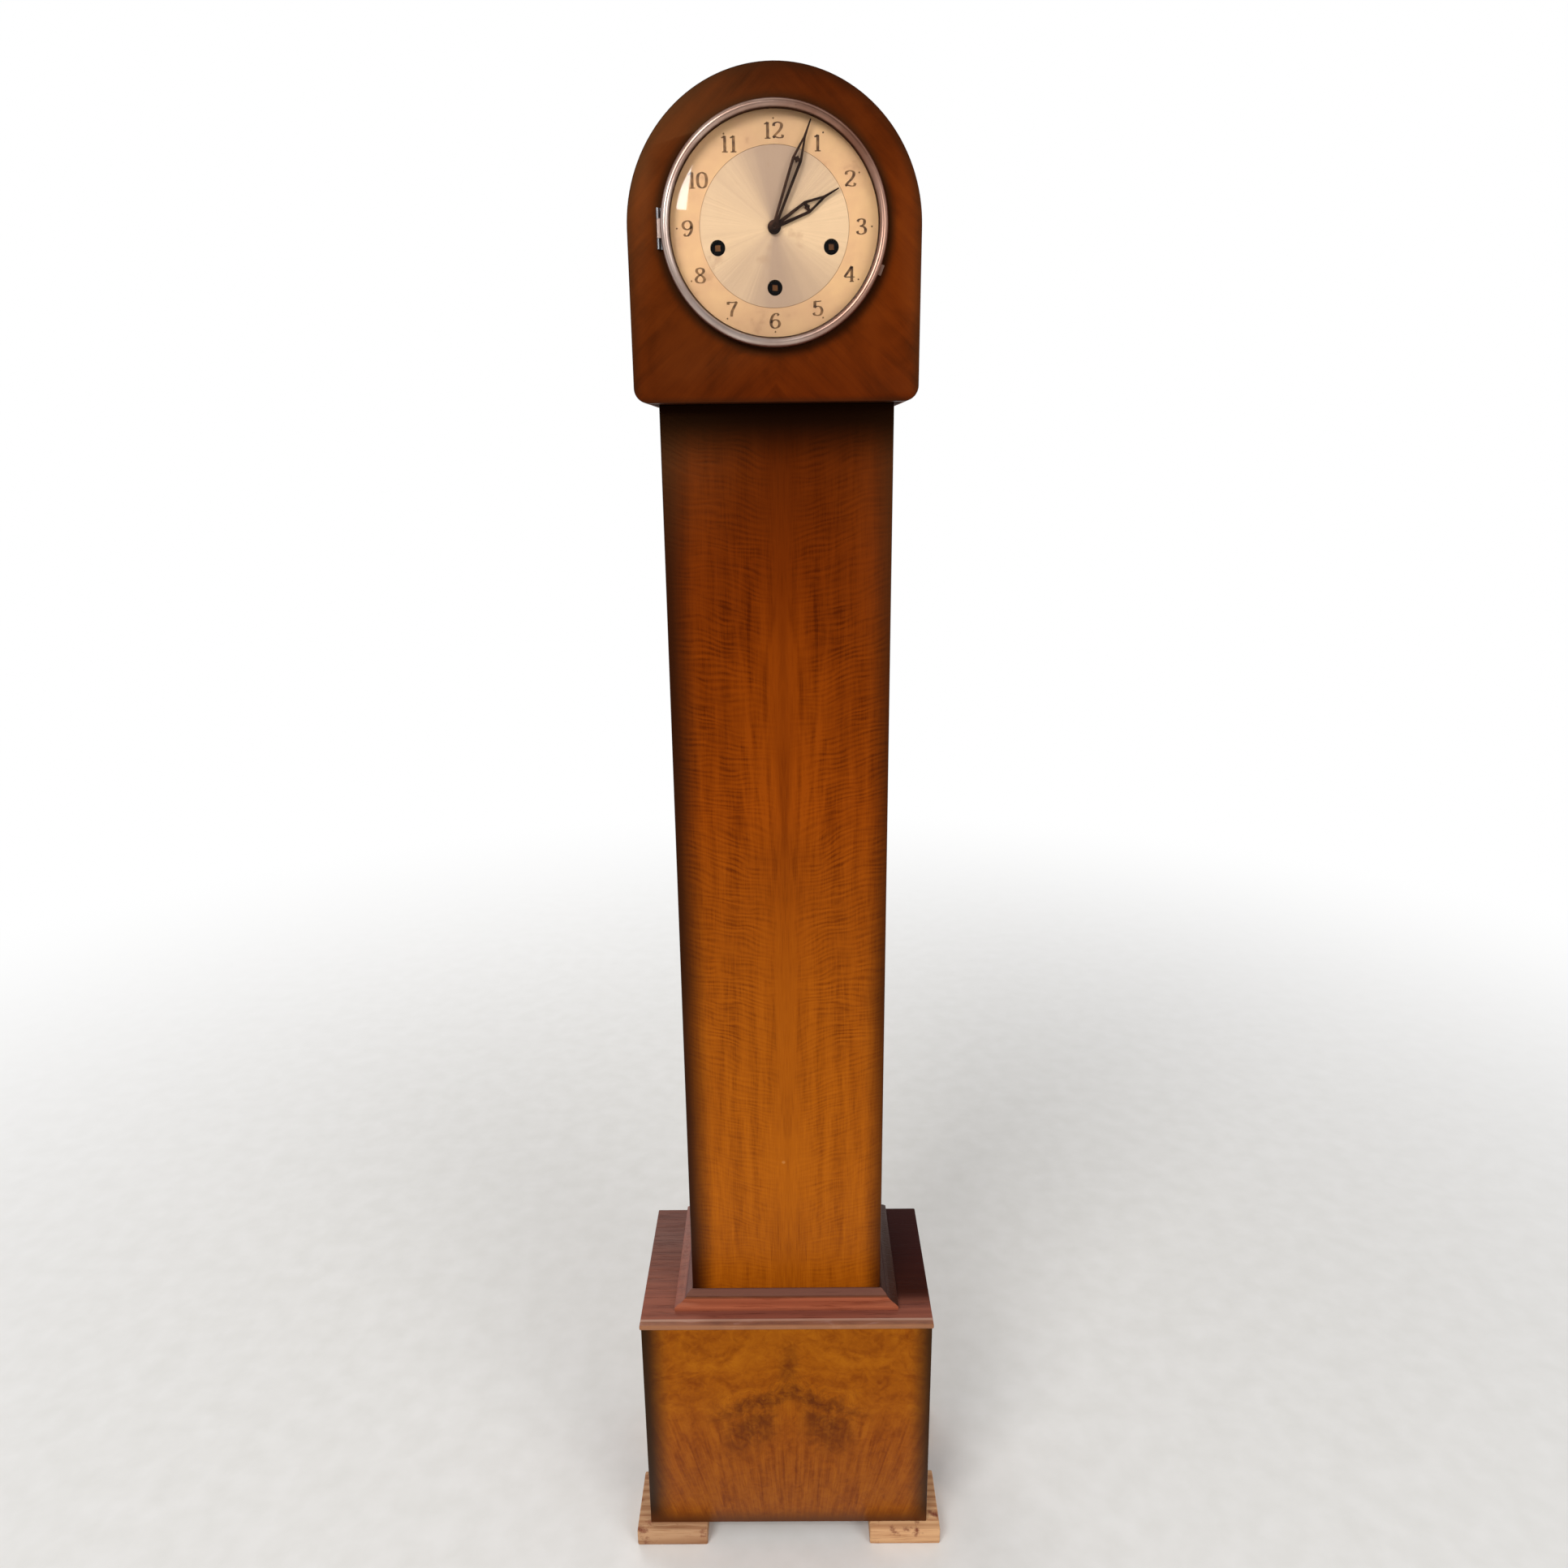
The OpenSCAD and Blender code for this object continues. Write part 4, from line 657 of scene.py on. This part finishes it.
# Painted sheen: the brushed centre is painted brighter to the left and right of the hands.
fans_and_sheen = add(tree, "TexNoise", {"Vector": heading, "Scale": 1.6, "Detail": 2})
fans_and_sheen = sum_of(tree, "MULTIPLY_ADD", fans_and_sheen, 0.5, product(tree, side, 0.6))
stain = add(tree, "TexNoise", {"Vector": at, "Scale": 38, "Detail": 5, "Roughness": 0.6})
centre = mix(tree, ramp(tree, fans_and_sheen, (0.36, 0.0), (0.86, 1.0)),
             colour(190, 158, 130), colour(252, 213, 166))
centre = mix(tree, ramp(tree, rays, (0.3, 0.3), (0.7, 0.0)), centre, colour(160, 128, 102))
ring = mix(tree, ramp(tree, stain, (0.36, 0.0), (0.66, 1.0)),
           colour(246, 196, 138), colour(230, 178, 128))
# Painted shade: the ring is painted darker towards the top and the bottom.
ring = mix(tree, ramp(tree, side, (0.15, 0.4), (0.9, 0.0)), ring, colour(172, 136, 102))
on_ring = between(tree, reach, circle_r - circle_soft, circle_r + circle_soft)
shade = mix(tree, on_ring, centre, ring)
shade = mix(tree, ramp(tree, stain, (0.60, 0.0), (0.72, 0.5)), shade, colour(168, 122, 84))
tree.links.new(shade, shader.inputs["Base Color"])
tree.links.new(sum_of(tree, "MULTIPLY_ADD", stain, 0.2, 0.3), shader.inputs["Roughness"])
bump(tree, shader, rays, ray_depth)
dial = eased("dial_plate", "case")
finish_with(dial, silvered)

# The numbers are printed in dark brown ink, upright, with thick downstrokes and hairlines,
# and a dot stands outside each. The ink also fills the engraved circle. Each figure is a pen's
# path in a box one high: the stroke is broad where the pen moves up or down.
STROKES = {
    "0": [[(0.31, 0.97), (0.12, 0.84), (0.06, 0.5), (0.12, 0.16), (0.31, 0.03), (0.50, 0.16),
           (0.56, 0.5), (0.50, 0.84), (0.31, 0.97)]],
    "1": [[(0.24, 0.02), (0.24, 0.5), (0.24, 0.98)], [(0.24, 0.97), (0.14, 0.90), (0.05, 0.87)],
          [(0.08, 0.02), (0.24, 0.02), (0.40, 0.02)]],
    "2": [[(0.10, 0.74), (0.12, 0.89), (0.30, 0.97), (0.48, 0.90), (0.52, 0.73), (0.42, 0.50),
           (0.20, 0.24), (0.06, 0.05)],
          [(0.06, 0.05), (0.20, 0.09), (0.38, 0.04), (0.54, 0.07), (0.59, 0.22)]],
    "3": [[(0.10, 0.80), (0.16, 0.92), (0.31, 0.97), (0.46, 0.90), (0.47, 0.70), (0.36, 0.56),
           (0.22, 0.53)], [(0.22, 0.53), (0.42, 0.49), (0.54, 0.33), (0.50, 0.12),
                           (0.32, 0.03), (0.14, 0.08), (0.08, 0.22)]],
    "4": [[(0.44, 0.98), (0.24, 0.64), (0.03, 0.30)], [(0.03, 0.30), (0.30, 0.30), (0.60, 0.30)],
          [(0.44, 0.98), (0.44, 0.5), (0.44, 0.02)], [(0.32, 0.02), (0.44, 0.02), (0.56, 0.02)]],
    "5": [[(0.14, 0.95), (0.30, 0.93), (0.50, 0.96)], [(0.14, 0.95), (0.13, 0.75), (0.12, 0.53)],
          [(0.12, 0.53), (0.26, 0.62), (0.44, 0.57), (0.54, 0.34), (0.46, 0.10), (0.28, 0.03),
           (0.12, 0.08), (0.07, 0.20)]],
    "6": [[(0.50, 0.84), (0.42, 0.96), (0.26, 0.93), (0.11, 0.70), (0.06, 0.36), (0.14, 0.11),
           (0.30, 0.03), (0.48, 0.12), (0.55, 0.31), (0.47, 0.50), (0.30, 0.57), (0.14, 0.48),
           (0.08, 0.36)]],
    "7": [[(0.06, 0.78), (0.07, 0.88), (0.07, 0.97)], [(0.07, 0.95), (0.30, 0.92), (0.57, 0.96)],
          [(0.57, 0.96), (0.40, 0.62), (0.28, 0.32), (0.25, 0.02)]],
    "8": [[(0.31, 0.97), (0.15, 0.90), (0.12, 0.74), (0.24, 0.58), (0.42, 0.46), (0.55, 0.27),
           (0.48, 0.09), (0.31, 0.03), (0.13, 0.09), (0.07, 0.27), (0.19, 0.45), (0.38, 0.58),
           (0.50, 0.74), (0.46, 0.90), (0.31, 0.97)]],
}
narrow, wide = 0.48, 0.62
STROKES["9"] = [[(wide - x, 1 - y) for x, y in stroke] for stroke in STROKES["6"]]
figure_high, figure_wide, number_pens, circle_pens = 0.0116, 1.22, (0.0023, 0.0008), (0.0003, 0.0003)
number_reach, dot_reach, dot_r, ink_t, circle_steps = 0.0687, 0.0770, 0.0007, 0.00006, 160


def smooth_path(points, steps=7):
    """More points along a curve that passes through all the given ones."""
    path = []
    ends = [points[0]] + points + [points[-1]]
    for before, start, stop, after in zip(ends, ends[1:], ends[2:], ends[3:]):
        for step in range(steps):
            t = step / steps
            path.append(tuple(
                0.5 * (2 * b + (c - a) * t + (2 * a - 5 * b + 4 * c - d) * t * t
                       + (3 * b - a - 3 * c + d) * t ** 3)
                for a, b, c, d in zip(before, start, stop, after)))
    return path + [points[-1]]


def ink_stroke(mesh, path, pens):
    """A flat ribbon along a path on the dial, as broad as a pen would leave it."""
    broad_pen, fine_pen = pens
    contrast = 1.4
    rows = []
    for i, (x, z) in enumerate(path):
        (x0, z0), (x1, z1) = path[max(i - 1, 0)], path[min(i + 1, len(path) - 1)]
        length = math.hypot(x1 - x0, z1 - z0) or 1.0
        run, lift = (x1 - x0) / length, (z1 - z0) / length
        half = (fine_pen + (broad_pen - fine_pen) * abs(lift) ** contrast) / 2
        rows.append([mesh.verts.new((x + side * lift * half, dial_at.y, z - side * run * half))
                     for side in (1, -1)])
    for (a, b), (c, d) in zip(rows, rows[1:]):
        mesh.faces.new((a, b, d, c))


ink_mesh = bmesh.new()
for hour in range(1, 13):
    heading = math.radians(90 - 30 * hour)
    figures = str(hour)
    widths = [(narrow if figure == "1" else wide) * figure_wide * figure_high for figure in figures]
    left = number_reach * math.cos(heading) - sum(widths) / 2
    low = dial_at.z + number_reach * math.sin(heading) - figure_high / 2
    for figure, width in zip(figures, widths):
        for stroke in STROKES[figure]:
            path = [(left + x * figure_wide * figure_high, low + z * figure_high)
                    for x, z in smooth_path(stroke)]
            ink_stroke(ink_mesh, path, number_pens)
        left += width
    spot = Matrix.Translation((dot_reach * math.cos(heading), dial_at.y,
                               dial_at.z + dot_reach * math.sin(heading)))
    bmesh.ops.create_circle(ink_mesh, cap_ends=True, segments=14, radius=dot_r,
                            matrix=spot @ Matrix.Rotation(math.pi / 2, 4, "X"))
turns = [math.tau * i / circle_steps for i in range(circle_steps + 1)]
around = [(circle_r * math.cos(turn), dial_at.z + circle_r * math.sin(turn)) for turn in turns]
ink_stroke(ink_mesh, around, circle_pens)
ink_data = bpy.data.meshes.new("dial_numbers")
ink_mesh.to_mesh(ink_data)
numbers = bpy.data.objects.new("dial_numbers", ink_data)
bpy.context.scene.collection.objects.link(numbers)
bpy.ops.object.select_all(action="DESELECT")
bpy.context.view_layer.objects.active = numbers
numbers.select_set(True)
bpy.ops.object.mode_set(mode="EDIT")
bpy.ops.mesh.select_all(action="SELECT")
bpy.ops.mesh.normals_make_consistent(inside=False)
bpy.ops.mesh.extrude_region_move(TRANSFORM_OT_translate={"value": (0, -ink_t, 0)})
bpy.ops.mesh.select_all(action="SELECT")
bpy.ops.mesh.normals_make_consistent(inside=False)
bpy.ops.object.mode_set(mode="OBJECT")
ink, tree, shader = material("ink", Roughness=0.5, Specular_IOR_Level=0.3)
at = add(tree, "TexCoord", out=3)
worn = add(tree, "TexNoise", {"Vector": at, "Scale": 260, "Detail": 4})
# Painted light: the ink is made paler towards the left of the dial.
lit_left = between(tree, add(tree, "SeparateXYZ", {0: at}), -0.02, -0.05)
worn = sum_of(tree, "MULTIPLY_ADD", lit_left, 0.12, worn)
ink_shade = mix(tree, ramp(tree, worn, (0.35, 0.0), (0.75, 1.0)),
                colour(72, 42, 20), colour(150, 106, 64))
tree.links.new(ink_shade, shader.inputs["Base Color"])
finish_with(numbers, ink)
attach(numbers, "case")


# THE HANDS
# Blued steel gone brown, stamped out and pierced, each with a long slot from the boss to a
# pair of shoulders and a shorter one beyond them, running out to a fine point.
bronze = metal("hand_metal", colour(58, 38, 28), colour(30, 18, 12), rough=0.42, scale=60)
for name, body in (("minute_hand", "minute_hand"), ("hour_hand", "hour_hand"),
                   ("hand_nut", "minute_hand")):
    hand = eased(name, body, radius=0.00018, steps=2)
    finish_with(hand, bronze)


# THE BEZEL
# A spun and plated brass ring on a hinge at the left, with a small lip soldered on at the
# right to open it by. The plating is bright, with soft warm wear.
chrome, tree, shader = material("bezel_metal", Metallic=1.0)
at, reach, heading = from_dial(tree)
wear = add(tree, "TexNoise", {"Vector": at, "Scale": 26, "Detail": 3})
spots = add(tree, "TexNoise", {"Vector": at, "Scale": 420, "Detail": 3})
shade = mix(tree, ramp(tree, wear, (0.4, 0.0), (0.65, 1.0)),
            colour(197, 178, 168), colour(168, 142, 130))
shade = mix(tree, ramp(tree, spots, (0.68, 0.0), (0.76, 0.5)), shade, colour(110, 84, 70))
inner_from, inner_to, spot_depth = 0.0834, 0.0822, 0.000001
edge_from, edge_full, edge_end, edge_to = 0.0889, 0.0896, 0.0898, 0.0900
# Painted shadow: dark along the inner edge over the dial and round the outer edge.
shade = mix(tree, between(tree, reach, inner_from, inner_to), shade, colour(66, 44, 30))
edge = product(tree, between(tree, reach, edge_from, edge_full),
               between(tree, reach, edge_to, edge_end))
shade = mix(tree, edge, shade, colour(84, 62, 52))
# Painted reflection: a warm, darker tint on the right of the ring and at its top.
reflection_right = add(tree, "SeparateXYZ", {0: heading})
reflection_top = add(tree, "SeparateXYZ", {0: heading}, out=2)
shade = mix(tree, between(tree, reflection_right, -0.2, 0.8), shade, colour(218, 189, 175), "MULTIPLY")
shade = mix(tree, between(tree, reflection_top, 0.2, 0.9), shade, colour(236, 220, 210), "MULTIPLY")
tree.links.new(shade, shader.inputs["Base Color"])
tree.links.new(sum_of(tree, "MULTIPLY_ADD", wear, 0.1, 0.28), shader.inputs["Roughness"])
bump(tree, shader, spots, spot_depth)
ring = eased("bezel", "bezel")
finish_with(ring, chrome)

# The glass is a shallow dome held in the back of the ring.
glass, tree, shader = material("glass", Roughness=0.02, IOR=1.45, Transmission_Weight=1.0)
dome = eased("bezel_glass", "bezel", smooth=30)
finish_with(dome, glass)
dome.visible_shadow = False
dome.visible_diffuse = False
